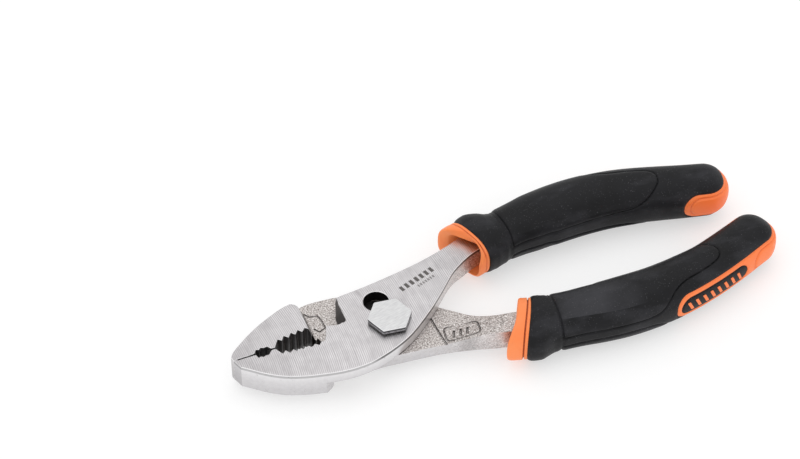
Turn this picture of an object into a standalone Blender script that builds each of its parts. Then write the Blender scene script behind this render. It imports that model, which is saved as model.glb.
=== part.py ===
"""Two-position slip-joint pliers with two-component grips, about 177 mm long.

World frame: metres, +Z up.  The origin is the centre of the hex head's top
face, on the pivot axis.  The jaws point to -X, the handles to +X, the upper jaw
and the upper handle are on the +Y side, and the hex head faces +Z.
Every length below is in millimetres; MM turns it into metres.  Heights are
written from the plane where the two forged halves meet, and DROP lowers them
all into the world frame.
"""
import math
from bisect import bisect_right
from types import SimpleNamespace

import bmesh
import bpy
from mathutils import Vector

MM = 0.001
GAP = 0.3               # clearance between neighbouring pieces

# ---------------------------------------------------------------- forgings
# The front half lies above the joint plane: lower jaw, slotted plate, upper arm.
# The rear half lies below it: upper jaw, back plate, lower arm.
HALF_T = 4.5            # half of the jaw thickness
JOINT_GAP = 0.15        # each half stops this far from the joint plane
SLIP = (-1.3, 8.5)      # from the near pivot hole to the far pivot hole
SLIP_ANGLE = math.degrees(math.atan2(SLIP[1], SLIP[0]))
HOLE_R = 4.0            # the two holes of the slip slot
HOLE_POINTS = 21        # points on each hole's arc
NECK = 5.6              # width of the neck between the two holes
REAR_HOLE_R = 3.3
ROUND_POINTS = 32       # points on a full circle

RAMP = 13.5             # length of the forged ramp from joint plate to arm
FRONT_RAMP = 18.3       # where each half's ramp starts along its normal
REAR_RAMP = 17.0
RAMP_NORMAL = (0.62, 0.79)  # plan direction of the front ramp's fall; rear has -Y
ARM_BACK = 3.0          # how far the arm passes the joint plane at the collar
RAMP_LEAD = 8.0         # the ramp cut begins this far before the ramp
RAMP_LEAD_Z = 1.2       # and this far past the joint plane
RAMP_RUN = 45.0         # length of the ramp cut, and its reach to either side
RECESS_LAP = 0.3        # the recess runs this far into the ramp
RECESS_REACH = 40.0     # reach of the recess to either side
CUT_Z = 9.0             # recess and ramp cuts end here, clear of the part
HOLE_CUT_Z = 6.0        # half height of the cuts for slot and hole

# plan outline (x, y) of the front half
FRONT = [
    (-49.0, 0.9), (-43.3, 1.25), (-42.5, 1.2), (-42.1, -0.15), (-41.3, 0.15),
    (-40.6, -0.35), (-39.8, 0.05), (-38.9, -0.1), (-38.1, 0.75), (-37.4, 1.4),
    (-36.3, 1.4), (-34.8, -1.2), (-33.6, -0.2), (-32.6, -1.7), (-31.3, -0.6),
    (-30.2, -2.0), (-29.0, -1.0), (-28.0, -2.1), (-26.7, -0.9), (-25.7, -1.9),
    (-24.5, -0.9), (-23.4, -1.9), (-22.3, -0.8), (-21.3, -0.9), (-20.0, 1.7),
    (-19.2, 4.1), (-18.5, 4.6), (-16.9, 4.0), (-15.6, 4.0), (-14.8, 4.6),
    (-14.7, 12.9), (-13.6, 13.8), (-11.2, 14.5), (-2.3, 15.55),
    (7.1, 17.1), (11.6, 17.95), (17.5, 19.25), (24.7, 21.3), (29.3, 22.95),
    (32.8, 24.35), (38.6, 26.0), (40.3, 18.4), (37.5, 17.65),
    (34.8, 16.85), (31.7, 15.45), (28.1, 13.3), (25.0, 11.0),
    (19.0, 4.9), (14.0, 0.1), (8.4, -4.6), (3.9, -7.9), (-0.6, -10.3),
    (-5.8, -12.4), (-11.1, -13.9), (-15.0, -14.3), (-18.4, -14.3),
    (-22.2, -13.9), (-27.0, -13.0), (-31.6, -11.9), (-36.1, -10.3),
    (-39.6, -8.5), (-42.8, -6.3), (-45.7, -3.9), (-48.3, -1.8),
]
# plan outline (x, y) of the rear half
REAR = [
    (-49.7, 1.5), (-43.3, 1.75), (-42.6, 2.0), (-42.0, 3.1), (-41.1, 2.8),
    (-40.3, 3.4), (-39.5, 3.0), (-38.4, 3.2), (-37.5, 2.0), (-36.3, 1.9),
    (-34.5, 4.7), (-33.4, 3.8), (-32.3, 5.4), (-31.1, 4.2), (-29.9, 5.8),
    (-28.8, 4.6), (-27.6, 6.1), (-26.5, 4.9), (-25.3, 6.2), (-24.5, 5.4),
    (-23.6, 5.2), (-22.4, 4.6), (-20.6, 2.9), (-20.0, 0.0), (-19.5, -3.2),
    (-18.2, -6.4), (-15.8, -9.0), (-12.0, -10.1), (-5.5, -10.2), (-0.5, -10.6),
    (6.0, -11.1), (12.7, -11.75), (19.6, -13.0), (26.5, -14.8),
    (31.7, -16.15), (37.3, -17.4), (39.2, -10.2), (34.0, -8.8),
    (31.5, -7.95), (27.7, -5.7), (23.9, -2.6), (20.2, 0.5), (16.7, 3.4),
    (13.0, 5.9), (8.5, 8.5), (4.0, 11.4),
    (-0.5, 13.8), (-5.5, 16.4), (-10.7, 18.1), (-16.0, 18.6), (-20.5, 18.6),
    (-23.4, 18.0), (-27.0, 16.85), (-29.6, 16.2), (-33.8, 14.4),
    (-37.8, 12.4), (-42.0, 9.85), (-46.6, 6.5), (-48.9, 4.5), (-50.0, 2.8),
]
# -X ends (x, y) of the joint recesses, each at its jaw's shoulder
FRONT_SHOULDER = [
    (-26.2, -22.0), (-25.6, -13.6), (-24.3, -12.9), (-22.6, -11.8),
    (-21.9, -10.2), (-21.9, 22.0),
]
REAR_SHOULDER = [
    (-27.4, 26.0), (-27.1, 18.0), (-26.2, 16.95), (-25.1, 16.5),
    (-24.3, 15.95), (-23.8, 15.1), (-23.6, 13.9), (-23.6, -22.0),
]
# sloping relief on the front plate's -X edge: plan outlines (x, y) and heights
RELIEF_LOW = [(-18.0, 20.0), (-15.6, 4.9), (-15.0, 4.9), (-15.1, 20.0)]
RELIEF_TOP = [(-18.0, 20.0), (-15.6, 4.2), (-12.0, 4.4), (-12.2, 20.0)]
RELIEF_Z = (-0.6, 5.2)

# ---------------------------------------------------------------- pivot
SHANK_R = 3.88          # bolt where it crosses the slot
SHANK_AF = 5.2          # across the two flats that pass the neck
SHANK_POINTS = 13       # points on each arc between the flats
REAR_R = 3.2            # bolt where it crosses the rear half and the nut
HEAD_R = 6.95           # hex head, centre to corner
HEAD_H = 1.9
HEAD_PHASE = 113.6      # degrees, first corner of the hex head
NUT_R = 6.7             # hex nut, centre to corner
NUT_H = 3.1
NUT_TURN = 8.0          # degrees from the head's corners to the nut's
BOLT_SHORT = 0.4        # the bolt's end stops this far inside the nut
HEAD_LAP = 0.6          # the shank runs this far into the head
FLATS_Z0 = -0.05        # lower end of the shank with flats
ROUND_Z1 = 0.1          # upper end of the round part
BORE_Z = (-12.0, -3.0)  # cut through the nut
HEAD_Z0 = HALF_T + GAP
DROP = HEAD_Z0 + HEAD_H  # height of the head's top face over the joint plane

# ---------------------------------------------------------------- grips
# Places along a grip are measured from the first point of its centre line.
# Outwards means away from the other handle.
#   side             +1 upper grip, -1 lower grip
#   lift             height of the centre line
#   line             centre line (x, y)
#   sizes            place along, half width, half height of the black sleeve
#   face, edge       the collar's open face and the sleeve's edge: place at the
#                    centre line, and how much nearer the jaws per mm outwards
#   mouth            opening for the arm: floor, outward shift, lift
#   tang_shift/lift  offset of the tang at the collar
SLEEVE_START = 6.4
UPPER = SimpleNamespace(
    tag="upper", side=1, lift=1.2,
    line=[(34.1, 21.2), (39.9, 22.8), (47.6, 24.0), (56.6, 24.9),
          (65.6, 25.8), (74.6, 26.1), (83.6, 25.6), (91.6, 24.3),
          (99.6, 22.4), (107.5, 20.3), (114.9, 18.5)],
    sizes=[(SLEEVE_START, 9.2, 7.6), (7.0, 9.65, 8.1), (8.2, 9.95, 8.25),
           (9.6, 9.3, 7.95), (10.8, 8.5, 7.5), (12.4, 8.25, 7.35),
           (18.0, 8.45, 7.6), (26.0, 9.0, 7.9), (38.0, 9.2, 8.1),
           (52.0, 9.0, 8.1), (64.0, 8.6, 8.0), (82.0, 8.1, 7.8)],
    face=(-2.9, 0.23), edge=(1.25, 0.07), mouth=(6.6, -0.1, -0.3),
    tang_shift=-0.5, tang_lift=-0.45)
LOWER = SimpleNamespace(
    tag="lower", side=-1, lift=0.0,
    line=[(36.0, -13.2), (42.0, -14.8), (50.0, -15.8), (58.0, -16.5),
          (66.0, -17.15), (74.0, -17.25), (83.0, -16.7), (92.0, -15.3),
          (101.0, -12.95), (110.1, -9.8), (119.8, -6.1)],
    sizes=[(SLEEVE_START, 9.7, 7.6), (7.0, 10.1, 8.1), (8.8, 9.9, 8.1),
           (12.4, 8.8, 7.45), (18.0, 8.55, 7.6), (26.0, 8.9, 7.9),
           (36.0, 9.1, 8.1), (48.0, 8.7, 8.1), (62.0, 8.2, 8.0),
           (84.0, 7.9, 7.8)],
    face=(-1.0, 0.31), edge=(4.55, 0.20), mouth=(5.3, 0.1, -0.6),
    tang_shift=0.3, tang_lift=-0.75)

CURVE_STEPS = 24        # steps per span of the centre line
TANGENT_REACH = 6       # curve points to either side that set the tangent
SUPER = 2.4             # exponent of the grip section
RING_POINTS = 28
SLANT_END = 12.4        # from here on the sleeve's rings stand square
RING_STEP = 4.0         # wanted distance between the skin's rings
TAIL_ANGLES = (0, 18, 35, 51, 65, 77)   # degrees round the tail's dome
SKIN_START = 30.0       # start of the skin that trims strip, pad and badge

# orange core: collar with a flange and a second lip, then a tube
FLANGE_BACK = 5.05
CORE_SIZE = (5.9, 5.5)  # half width and half height of the tube
# collar rings: place before slanting, half width, half height
COLLAR = [(0.0, 8.5, 6.7), (0.6, 9.4, 7.4), (4.6, 9.6, 7.6), (5.0, 9.2, 7.2),
          (FLANGE_BACK, 8.9, 6.9), (6.1, 8.9, 6.9), (6.15, *CORE_SIZE)]
TUBE_START = 6.8
TUBE_SHORT = 2.0        # the tube stops this far before the tail's centre
TUBE_STEPS = 12
INNER_START = -3.0      # start of the sleeve's bore
INNER_STEPS = 14
# mouth rings before its floor: place, half width, half height
MOUTH_RINGS = [(-9.0, 6.2, 5.25), (-3.0, 5.9, 5.15), (1.5, 5.3, 4.7)]
MOUTH_FLOOR = (4.7, 4.3)
MOUTH_POWER = 6.0

# orange strip on the outer edge and orange pad on the inner side of the tail
STRIP_Z = 4.8
STRIP_BACK = 37.0       # starts this far before the tail's centre
STRIP_PAST = 4.0        # runs this far past the tail's tip
STRIP_STEPS = 9
PAD_Z = 5.0
PAD_BACK = 7.6
PAD_PAST = 5.0
PAD_STEPS = 4
BAR_LAP = 1.0           # strip and pad each cross the centre line this far
BAR_ROUND = 3.6         # rounding at their starts
BAR_ROUND_STEPS = 6
BAR_TIP_Z = 0.35        # least half height at their starts
BAR_REACH = 14.0        # outer limit of the bars
BAR_CUT_REACH = 15.0    # outer limit of the cuts for them

# black badge set in the strip
BADGE_BACK = (35.6, 10.2)   # start and end, before the tail's centre
BADGE_Z = 3.4
BADGE_T = 1.0
BADGE_REACH = 14.0
BADGE_ANGLES = (12, 35, 62, 90)     # degrees round its ends
BADGE_STEPS = 5

# steel tang inside the core
TANG_START = -2.2
TANG_END = 58.0
TANG_PLACES = (4.0, 14.0, 26.0, 38.0, 48.0)     # rings between the ends
TANG_SIZE = (3.25, 3.35)    # half width and half height at the start
TANG_NARROW = 0.9           # both shrink by this much
TANG_TAPER = 58.0           # over this length
TANG_OFFSET_START = -2.0    # shift and lift fade to nothing from here
TANG_LIFT_FADE = 26.0
TANG_SHIFT_FADE = 22.0
TANG_POINTS = 16
TANG_POWER = 5.0
POCKET_START = -4.0
POCKET_PAST = 1.0           # the pocket is this much longer than the tang


# ---------------------------------------------------------------- helpers
def clear_scene():
    for ob in list(bpy.data.objects):
        bpy.data.objects.remove(ob, do_unlink=True)


def material(name, color, roughness, metallic):
    mat = bpy.data.materials.new(name)
    mat.use_nodes = True
    inputs = mat.node_tree.nodes["Principled BSDF"].inputs
    inputs["Base Color"].default_value = (*color, 1.0)
    inputs["Roughness"].default_value = roughness
    inputs["Metallic"].default_value = metallic
    return mat


def solid(name, rings, mat=None):
    """Closed skin through equal rings of points in metres, with a flat cap at
    each end.  Without a material it is a hidden helper."""
    bm = bmesh.new()
    rows = [[bm.verts.new(point) for point in ring] for ring in rings]
    bm.faces.new(rows[0])
    bm.faces.new(rows[-1])
    count = len(rows[0])
    for low, top in zip(rows, rows[1:]):
        for i in range(count):
            j = (i + 1) % count
            bm.faces.new((low[i], low[j], top[j], top[i]))
    bmesh.ops.recalc_face_normals(bm, faces=bm.faces)
    bmesh.ops.translate(bm, verts=bm.verts, vec=(0.0, 0.0, -DROP * MM))
    mesh = bpy.data.meshes.new(name)
    bm.to_mesh(mesh)
    bm.free()
    ob = bpy.data.objects.new(name, mesh)
    bpy.context.scene.collection.objects.link(ob)
    if mat is not None:
        mesh.materials.append(mat)
    else:
        ob.hide_render = True
        ob.display_type = 'WIRE'
    return ob


def loft(name, rings, mat=None):
    """A solid through rings of points in millimetres."""
    return solid(name, [[Vector(point) * MM for point in ring]
                        for ring in rings], mat)


def prism(name, outline, z0, z1, mat=None, top_outline=None):
    """A plan outline raised from z0 to z1, where it may change shape."""
    levels = ((outline, z0), (top_outline or outline, z1))
    return solid(name, [[(x * MM, y * MM, z * MM) for x, y in points]
                        for points, z in levels], mat)


def boolean(ob, tool, how):
    mod = ob.modifiers.new(how.lower(), 'BOOLEAN')
    mod.operation = how
    mod.solver = 'EXACT'
    mod.object = tool


def polar(radius, degrees, center=(0.0, 0.0)):
    angle = math.radians(degrees)
    return (center[0] + radius * math.cos(angle),
            center[1] + radius * math.sin(angle))


def circle(radius, count=ROUND_POINTS, phase=0.0):
    return [polar(radius, phase + 360.0 * i / count) for i in range(count)]


def arc(radius, count, start, sweep, center=(0.0, 0.0)):
    return [polar(radius, start + sweep * i / (count - 1), center)
            for i in range(count)]


def evenly(start, stop, steps):
    return [start + (stop - start) * i / steps for i in range(steps + 1)]


def clamp01(value):
    return min(max(value, 0.0), 1.0)


def smooth_line(points):
    """Dense Catmull-Rom curve through the points, and the distance along it
    at each of its points."""
    pts = [Vector(p) for p in points]
    ext = [pts[0] * 2 - pts[1]] + pts + [pts[-1] * 2 - pts[-2]]
    dense = []
    for p0, p1, p2, p3 in zip(ext, ext[1:], ext[2:], ext[3:]):
        for k in range(CURVE_STEPS):
            t = k / CURVE_STEPS
            dense.append(0.5 * ((2 * p1) + (p2 - p0) * t
                         + (2 * p0 - 5 * p1 + 4 * p2 - p3) * t * t
                         + (3 * p1 - p0 - 3 * p2 + p3) * t ** 3))
    dense.append(pts[-1])
    dist = [0.0]
    for here, after in zip(dense, dense[1:]):
        dist.append(dist[-1] + (after - here).length)
    return dense, dist


class Grip:
    """Frame and section sizes along one grip."""

    def __init__(self, spec):
        self.spec = spec
        self.pts, self.dist = smooth_line(spec.line)
        self.end = self.dist[-1]                        # the tail's centre
        self.tip = self.end + self.size(self.end)[0]    # the tail's tip

    def size(self, along):
        """Half width and half height of the sleeve."""
        table = self.spec.sizes
        if along <= table[0][0]:
            return table[0][1:]
        for low, high in zip(table, table[1:]):
            if along <= high[0]:
                f = (along - low[0]) / (high[0] - low[0])
                return tuple(u + (v - u) * f for u, v in zip(low[1:], high[1:]))
        return table[-1][1:]

    def at(self, along):
        """Position and tangent; the line runs on straight past its ends."""
        pts, dist = self.pts, self.dist
        if along <= 0.0:
            tangent = (pts[1] - pts[0]).normalized()
            return pts[0] + tangent * along, tangent
        if along >= self.end:
            tangent = (pts[-1] - pts[-2]).normalized()
            return pts[-1] + tangent * (along - self.end), tangent
        high = bisect_right(dist, along)
        low = high - 1
        f = (along - dist[low]) / (dist[high] - dist[low])
        before = pts[max(low - TANGENT_REACH, 0)]
        after = pts[min(high + TANGENT_REACH, len(pts) - 1)]
        return pts[low].lerp(pts[high], f), (after - before).normalized()

    def point(self, along, out, z):
        """out is measured outwards, away from the other handle."""
        pos, tangent = self.at(along)
        side = self.spec.side
        out_x, out_y = -tangent.y * side, tangent.x * side
        return (pos.x + out_x * out, pos.y + out_y * out, z + self.spec.lift)

    def ring(self, along, half_width, half_height, count=RING_POINTS,
             power=SUPER, shift=0.0, lift=0.0, slant=None):
        """Superellipse across the grip."""
        points = []
        for i in range(count):
            angle = 2 * math.pi * (i + 0.5) / count
            c, s = math.cos(angle), math.sin(angle)
            out = shift + half_width * math.copysign(abs(c) ** (2 / power), c)
            z = lift + half_height * math.copysign(abs(s) ** (2 / power), s)
            points.append(self.point(slant(along, out) if slant else along,
                                     out, z))
        return points

    def box(self, along, inner, outer, half_height):
        """Rectangle across the grip."""
        return [self.point(along, inner, -half_height),
                self.point(along, outer, -half_height),
                self.point(along, outer, half_height),
                self.point(along, inner, half_height)]

    def edge_at(self, out):
        """Place of the sleeve's leaning edge."""
        return self.spec.edge[0] - self.spec.edge[1] * out

    def collar_slant(self, along, out):
        """Stretches the collar from the leaning face to the leaning edge."""
        face = self.spec.face[0] - self.spec.face[1] * out
        edge = self.edge_at(out)
        if along >= FLANGE_BACK:
            return edge + along - SLEEVE_START
        back = edge - (SLEEVE_START - FLANGE_BACK)
        return face + (back - face) * along / FLANGE_BACK

    def sleeve_slant(self, along, out):
        """Pulls the first rings of the sleeve to its leaning edge."""
        share = clamp01((SLANT_END - along) / (SLANT_END - SLEEVE_START))
        return along + (self.edge_at(out) - SLEEVE_START) * share


# ---------------------------------------------------------------- forgings
def ramp_point(side, along, across):
    """Plan point in the ramp's frame; side is +1 front half, -1 rear half."""
    length = math.hypot(*RAMP_NORMAL)
    nx, ny = RAMP_NORMAL[0] / length, side * RAMP_NORMAL[1] / length
    return (nx * along - ny * across, ny * along + nx * across)


def ramp_tool(name, side, start):
    """Cut past the joint plane: a sloped floor from the joint plate that ends
    level with the arm's own face."""
    profile = [(start - RAMP_LEAD, RAMP_LEAD_Z), (start, -JOINT_GAP),
               (start + RAMP, ARM_BACK), (start + RAMP_RUN, ARM_BACK),
               (start + RAMP_RUN, CUT_Z), (start - RAMP_LEAD, CUT_Z)]
    return loft(name, [[(*ramp_point(side, along, across), -side * z)
                        for along, z in profile]
                       for across in (-RAMP_RUN, RAMP_RUN)])


def forged_half(tag, outline, shoulder, side, start, mat):
    """Jaw, plate and arm in one, cut back to the joint plane and the ramp."""
    ob = prism(tag + "_half", outline, -HALF_T, HALF_T, mat)
    ramp_edge = [ramp_point(side, start + RECESS_LAP, across)
                 for across in (side * RECESS_REACH, -side * RECESS_REACH)]
    z0, z1 = sorted((side * JOINT_GAP, -side * CUT_Z))
    recess = prism("cut_%s_recess" % tag, shoulder + ramp_edge, z0, z1)
    boolean(ob, recess, 'DIFFERENCE')
    boolean(ob, ramp_tool("cut_%s_ramp" % tag, side, start), 'DIFFERENCE')
    return ob


def slot_outline():
    """The figure-eight slot: two holes joined by a narrower neck."""
    half_open = math.degrees(math.asin(NECK / 2 / HOLE_R))
    sweep = 360 - 2 * half_open
    near = arc(HOLE_R, HOLE_POINTS, SLIP_ANGLE + half_open, sweep)
    far = arc(HOLE_R, HOLE_POINTS, SLIP_ANGLE + (180 + half_open), sweep, SLIP)
    return near + far


def tang_rings(grip, first, last, grow=0.0):
    spec = grip.spec
    rings = []
    for along in (first, *TANG_PLACES, last):
        narrow = TANG_NARROW * clamp01((along - TANG_START) / TANG_TAPER)
        past = along - TANG_OFFSET_START
        rings.append(grip.ring(
            along, TANG_SIZE[0] - narrow + grow, TANG_SIZE[1] - narrow + grow,
            TANG_POINTS, TANG_POWER,
            shift=spec.tang_shift * (1.0 - clamp01(past / TANG_SHIFT_FADE)),
            lift=spec.tang_lift * (1.0 - clamp01(past / TANG_LIFT_FADE))))
    return rings


def tang(grip):
    return loft("add_%s_tang" % grip.spec.tag,
                tang_rings(grip, TANG_START, TANG_END))


def build_front(grip, mat):
    ob = forged_half("front", FRONT, FRONT_SHOULDER, 1, FRONT_RAMP, mat)
    slot = prism("cut_front_slot", slot_outline(), -HOLE_CUT_Z, HOLE_CUT_Z)
    relief = prism("cut_front_relief", RELIEF_LOW, *RELIEF_Z,
                   top_outline=RELIEF_TOP)
    boolean(ob, slot, 'DIFFERENCE')
    boolean(ob, tang(grip), 'UNION')
    boolean(ob, relief, 'DIFFERENCE')


def build_rear(grip, mat):
    ob = forged_half("rear", REAR, REAR_SHOULDER, -1, REAR_RAMP, mat)
    hole = prism("cut_rear_hole", circle(REAR_HOLE_R), -HOLE_CUT_Z, HOLE_CUT_Z)
    boolean(ob, hole, 'DIFFERENCE')
    boolean(ob, tang(grip), 'UNION')


# ---------------------------------------------------------------- pivot
def shank_outline():
    """Circle with two flats along the slot's neck."""
    cut = math.degrees(math.acos(SHANK_AF / 2 / SHANK_R))
    return [point for start in (90 + cut - 180, 90 + cut)
            for point in arc(SHANK_R, SHANK_POINTS, SLIP_ANGLE + start,
                             180 - 2 * cut)]


def build_bolt(mat):
    """Flat hex head, a shank with two flats that pass the slot's neck, and a
    plain round end for the rear half and the nut."""
    ob = prism("pivot_bolt", circle(HEAD_R, 6, HEAD_PHASE),
               HEAD_Z0, HEAD_Z0 + HEAD_H, mat)
    flats = prism("add_bolt_flats", shank_outline(), FLATS_Z0,
                  HEAD_Z0 + HEAD_LAP)
    round_end = prism("add_bolt_round", circle(REAR_R),
                      -(HALF_T + GAP + NUT_H - BOLT_SHORT), ROUND_Z1)
    boolean(ob, flats, 'UNION')
    boolean(ob, round_end, 'UNION')


def build_nut(mat):
    top = -(HALF_T + GAP)
    ob = prism("pivot_nut", circle(NUT_R, 6, HEAD_PHASE + NUT_TURN),
               top - NUT_H, top, mat)
    bore = prism("cut_nut_bore", circle(REAR_R + GAP), *BORE_Z)
    boolean(ob, bore, 'DIFFERENCE')


# ---------------------------------------------------------------- grips
def outer_rings(grip, first, slant=None):
    """Rings of the grip's outer skin from position first to the round tail."""
    end = grip.end
    places = [first]
    for mark in [row[0] for row in grip.spec.sizes if first < row[0] < end]:
        space = mark - places[-1]
        if space > RING_STEP * 1.3:
            steps = int(space // RING_STEP) + 1
            places += evenly(places[-1], mark, steps)[1:-1]
        # a mark closer than this to the last ring is left out
        if mark - places[-1] > 0.5:
            places.append(mark)
    steps = int((end - places[-1]) // RING_STEP) + 1
    places += evenly(places[-1], end, steps)[1:-1]
    rings = [grip.ring(s, *grip.size(s), slant=slant) for s in places]
    half_width, half_height = grip.size(end)
    for degrees in TAIL_ANGLES:
        angle = math.radians(degrees)
        rings.append(grip.ring(end + half_width * math.sin(angle),
                               half_width * math.cos(angle),
                               half_height * math.cos(angle)))
    return rings


def bar(name, grip, start, stop, inner, outer, half, steps, grow):
    """A bar that follows the grip, rounded at its start."""
    stations = []
    for i in range(BAR_ROUND_STEPS + 1):
        angle = math.radians(90 * i / BAR_ROUND_STEPS)
        stations.append((start + BAR_ROUND * (1 - math.cos(angle)) - grow,
                         half - BAR_ROUND + BAR_ROUND * math.sin(angle)))
    straight = evenly(start + BAR_ROUND - grow, stop, steps)[1:]
    stations += [(along, half) for along in straight]
    return loft(name, [grip.box(along, inner, outer, max(z, BAR_TIP_Z) + grow)
                       for along, z in stations])


def strip_bar(name, grip, reach, grow=0.0):
    return bar(name, grip, grip.end - STRIP_BACK, grip.tip + STRIP_PAST,
               -BAR_LAP - grow, reach, STRIP_Z, STRIP_STEPS, grow)


def pad_bar(name, grip, reach, grow=0.0):
    return bar(name, grip, grip.end - PAD_BACK, grip.tip + PAD_PAST,
               -reach, BAR_LAP + grow, PAD_Z, PAD_STEPS, grow)


def badge_bar(name, grip, grow=0.0, mat=None):
    """A round-ended bar set into the grip's outer edge."""
    half = BADGE_Z + grow
    start = grip.end - BADGE_BACK[0] - grow
    stop = grip.end - BADGE_BACK[1] + grow
    # (distance from the bar's end, half height) round one end
    tip = [(half * (1 - math.cos(math.radians(g))),
            half * math.sin(math.radians(g))) for g in BADGE_ANGLES]
    stations = [(start + inset, z) for inset, z in tip]
    straight = evenly(start + half, stop - half, BADGE_STEPS)[1:]
    stations += [(along, half) for along in straight]
    stations += [(stop - inset, z) for inset, z in reversed(tip[:-1])]
    return loft(name, [
        grip.box(along, grip.size(along)[0] - (BADGE_T + grow), BADGE_REACH, z)
        for along, z in stations], mat)


def build_core(grip, skin, mat):
    """Orange collar and tube, with the strip and the pad, hollowed for the
    forging and the badge."""
    tag = grip.spec.tag
    rings = [grip.ring(*row, slant=grip.collar_slant) for row in COLLAR]
    rings += [grip.ring(s, *CORE_SIZE)
              for s in evenly(TUBE_START, grip.end - TUBE_SHORT, TUBE_STEPS)]
    core = loft(tag + "_core", rings, mat)

    strip = strip_bar("bar_%s_strip" % tag, grip, BAR_REACH)
    boolean(strip, pad_bar("bar_%s_pad" % tag, grip, BAR_REACH), 'UNION')
    boolean(strip, skin, 'INTERSECT')
    boolean(core, strip, 'UNION')

    pocket = loft("cut_%s_pocket" % tag, tang_rings(
        grip, POCKET_START, TANG_END + POCKET_PAST, GAP))
    boolean(core, pocket, 'DIFFERENCE')
    floor, shift, lift = grip.spec.mouth
    mouth = loft("cut_%s_mouth" % tag, [
        grip.ring(*row, power=MOUTH_POWER, shift=shift, lift=lift)
        for row in MOUTH_RINGS + [(floor, *MOUTH_FLOOR)]])
    boolean(core, mouth, 'DIFFERENCE')
    boolean(core, badge_bar("cut_%s_badge_seat" % tag, grip, GAP), 'DIFFERENCE')


def build_badge(grip, skin, mat):
    badge = badge_bar(grip.spec.tag + "_badge", grip, mat=mat)
    boolean(badge, skin, 'INTERSECT')


def build_sleeve(grip, mat):
    """Black sleeve over the core, open where the strip and the pad show."""
    tag = grip.spec.tag
    sleeve = loft(tag + "_sleeve", outer_rings(
        grip, SLEEVE_START, grip.sleeve_slant), mat)
    half_width, half_height = CORE_SIZE
    inner = loft("cut_%s_inner" % tag, [
        grip.ring(s, half_width + GAP, half_height + GAP)
        for s in evenly(INNER_START, grip.end - TUBE_SHORT + GAP, INNER_STEPS)])
    strip = strip_bar("cut_%s_strip" % tag, grip, BAR_CUT_REACH, GAP)
    pad = pad_bar("cut_%s_pad" % tag, grip, BAR_CUT_REACH, GAP)
    for tool in (inner, strip, pad):
        boolean(sleeve, tool, 'DIFFERENCE')


def build_grip(grip):
    tag = grip.spec.tag
    orange = material(tag + "_core_orange", color=(0.95, 0.20, 0.04),
                      roughness=0.45, metallic=0.0)
    black = material(tag + "_grip_black", color=(0.02, 0.02, 0.022),
                     roughness=0.7, metallic=0.0)
    skin = loft("skin_%s" % tag, outer_rings(grip, SKIN_START))
    build_core(grip, skin, orange)
    build_badge(grip, skin, black)
    build_sleeve(grip, black)


# ---------------------------------------------------------------- assembly
def main():
    clear_scene()
    upper, lower = Grip(UPPER), Grip(LOWER)
    build_front(upper, material("ground_steel", color=(0.62, 0.62, 0.61),
                                roughness=0.32, metallic=1.0))
    build_rear(lower, material("forged_steel", color=(0.42, 0.40, 0.38),
                               roughness=0.5, metallic=1.0))
    build_bolt(material("bolt_steel", color=(0.66, 0.66, 0.66),
                        roughness=0.3, metallic=1.0))
    build_nut(material("nut_steel", color=(0.55, 0.55, 0.55),
                       roughness=0.4, metallic=1.0))
    build_grip(upper)
    build_grip(lower)


main()
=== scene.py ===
"""Looks of two-position slip-joint pliers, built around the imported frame.

The tool lies flat with the pivot on the Z axis, the jaws towards -X and the
handles towards +X. The front half lies on top (+Z) at the joint, with its jaw
at -Y and its handle, the upper grip, at +Y; the rear half crosses under it.
Sizes are in millimetres with z measured from the joint plane, unless noted.
"""
import math

import bmesh
import bpy
import numpy as np
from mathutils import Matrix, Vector

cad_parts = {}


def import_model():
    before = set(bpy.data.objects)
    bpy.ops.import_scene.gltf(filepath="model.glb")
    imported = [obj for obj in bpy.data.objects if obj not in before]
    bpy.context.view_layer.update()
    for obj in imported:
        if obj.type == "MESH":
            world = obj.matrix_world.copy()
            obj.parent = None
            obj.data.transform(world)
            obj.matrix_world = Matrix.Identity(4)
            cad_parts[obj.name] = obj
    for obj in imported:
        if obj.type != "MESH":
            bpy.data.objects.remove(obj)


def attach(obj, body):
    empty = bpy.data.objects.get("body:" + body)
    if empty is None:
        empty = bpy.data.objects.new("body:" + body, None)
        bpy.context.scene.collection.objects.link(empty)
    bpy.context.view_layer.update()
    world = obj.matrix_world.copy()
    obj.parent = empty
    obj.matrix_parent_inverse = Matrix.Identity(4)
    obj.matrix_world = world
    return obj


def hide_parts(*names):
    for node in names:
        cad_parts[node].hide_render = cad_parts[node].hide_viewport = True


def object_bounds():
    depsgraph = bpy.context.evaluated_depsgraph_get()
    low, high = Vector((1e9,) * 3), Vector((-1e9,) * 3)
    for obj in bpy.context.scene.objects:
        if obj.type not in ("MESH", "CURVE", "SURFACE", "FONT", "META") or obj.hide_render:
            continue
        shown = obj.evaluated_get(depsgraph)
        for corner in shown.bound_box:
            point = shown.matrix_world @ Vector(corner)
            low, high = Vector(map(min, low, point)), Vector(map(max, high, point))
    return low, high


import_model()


def plain_box(box):
    return [[float(c) for c in corner] for corner in box]


CAD_BOX = plain_box(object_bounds())

# ------------------------------------------------------------------ joint sizes
DROP = 6.7                      # depth of the joint plane under the origin
HALF_T = 4.5                    # thickness of each half at the joint
GAP_Z = 0.15                    # clearance on each side of the joint plane
SLIP = (-1.3, 8.5)              # second pivot position in the slot
SLIP_TURN = math.degrees(math.atan2(SLIP[1], SLIP[0]))
SLOT_RADIUS, SLOT_HALF_NECK = 4.0, 2.8

RAMP_N = (0.62, 0.79)           # direction in which the front half's ramp rises
RAMP = 13.5                     # length of both ramps
FRONT_RAMP, REAR_RAMP = 18.3, 17.0      # distance from the pivot to each ramp
RECESS_OVERLAP = 0.3            # how far the recesses run into the ramps
ARM_BACK = 3.0                  # height of the arms beyond the ramps

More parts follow.
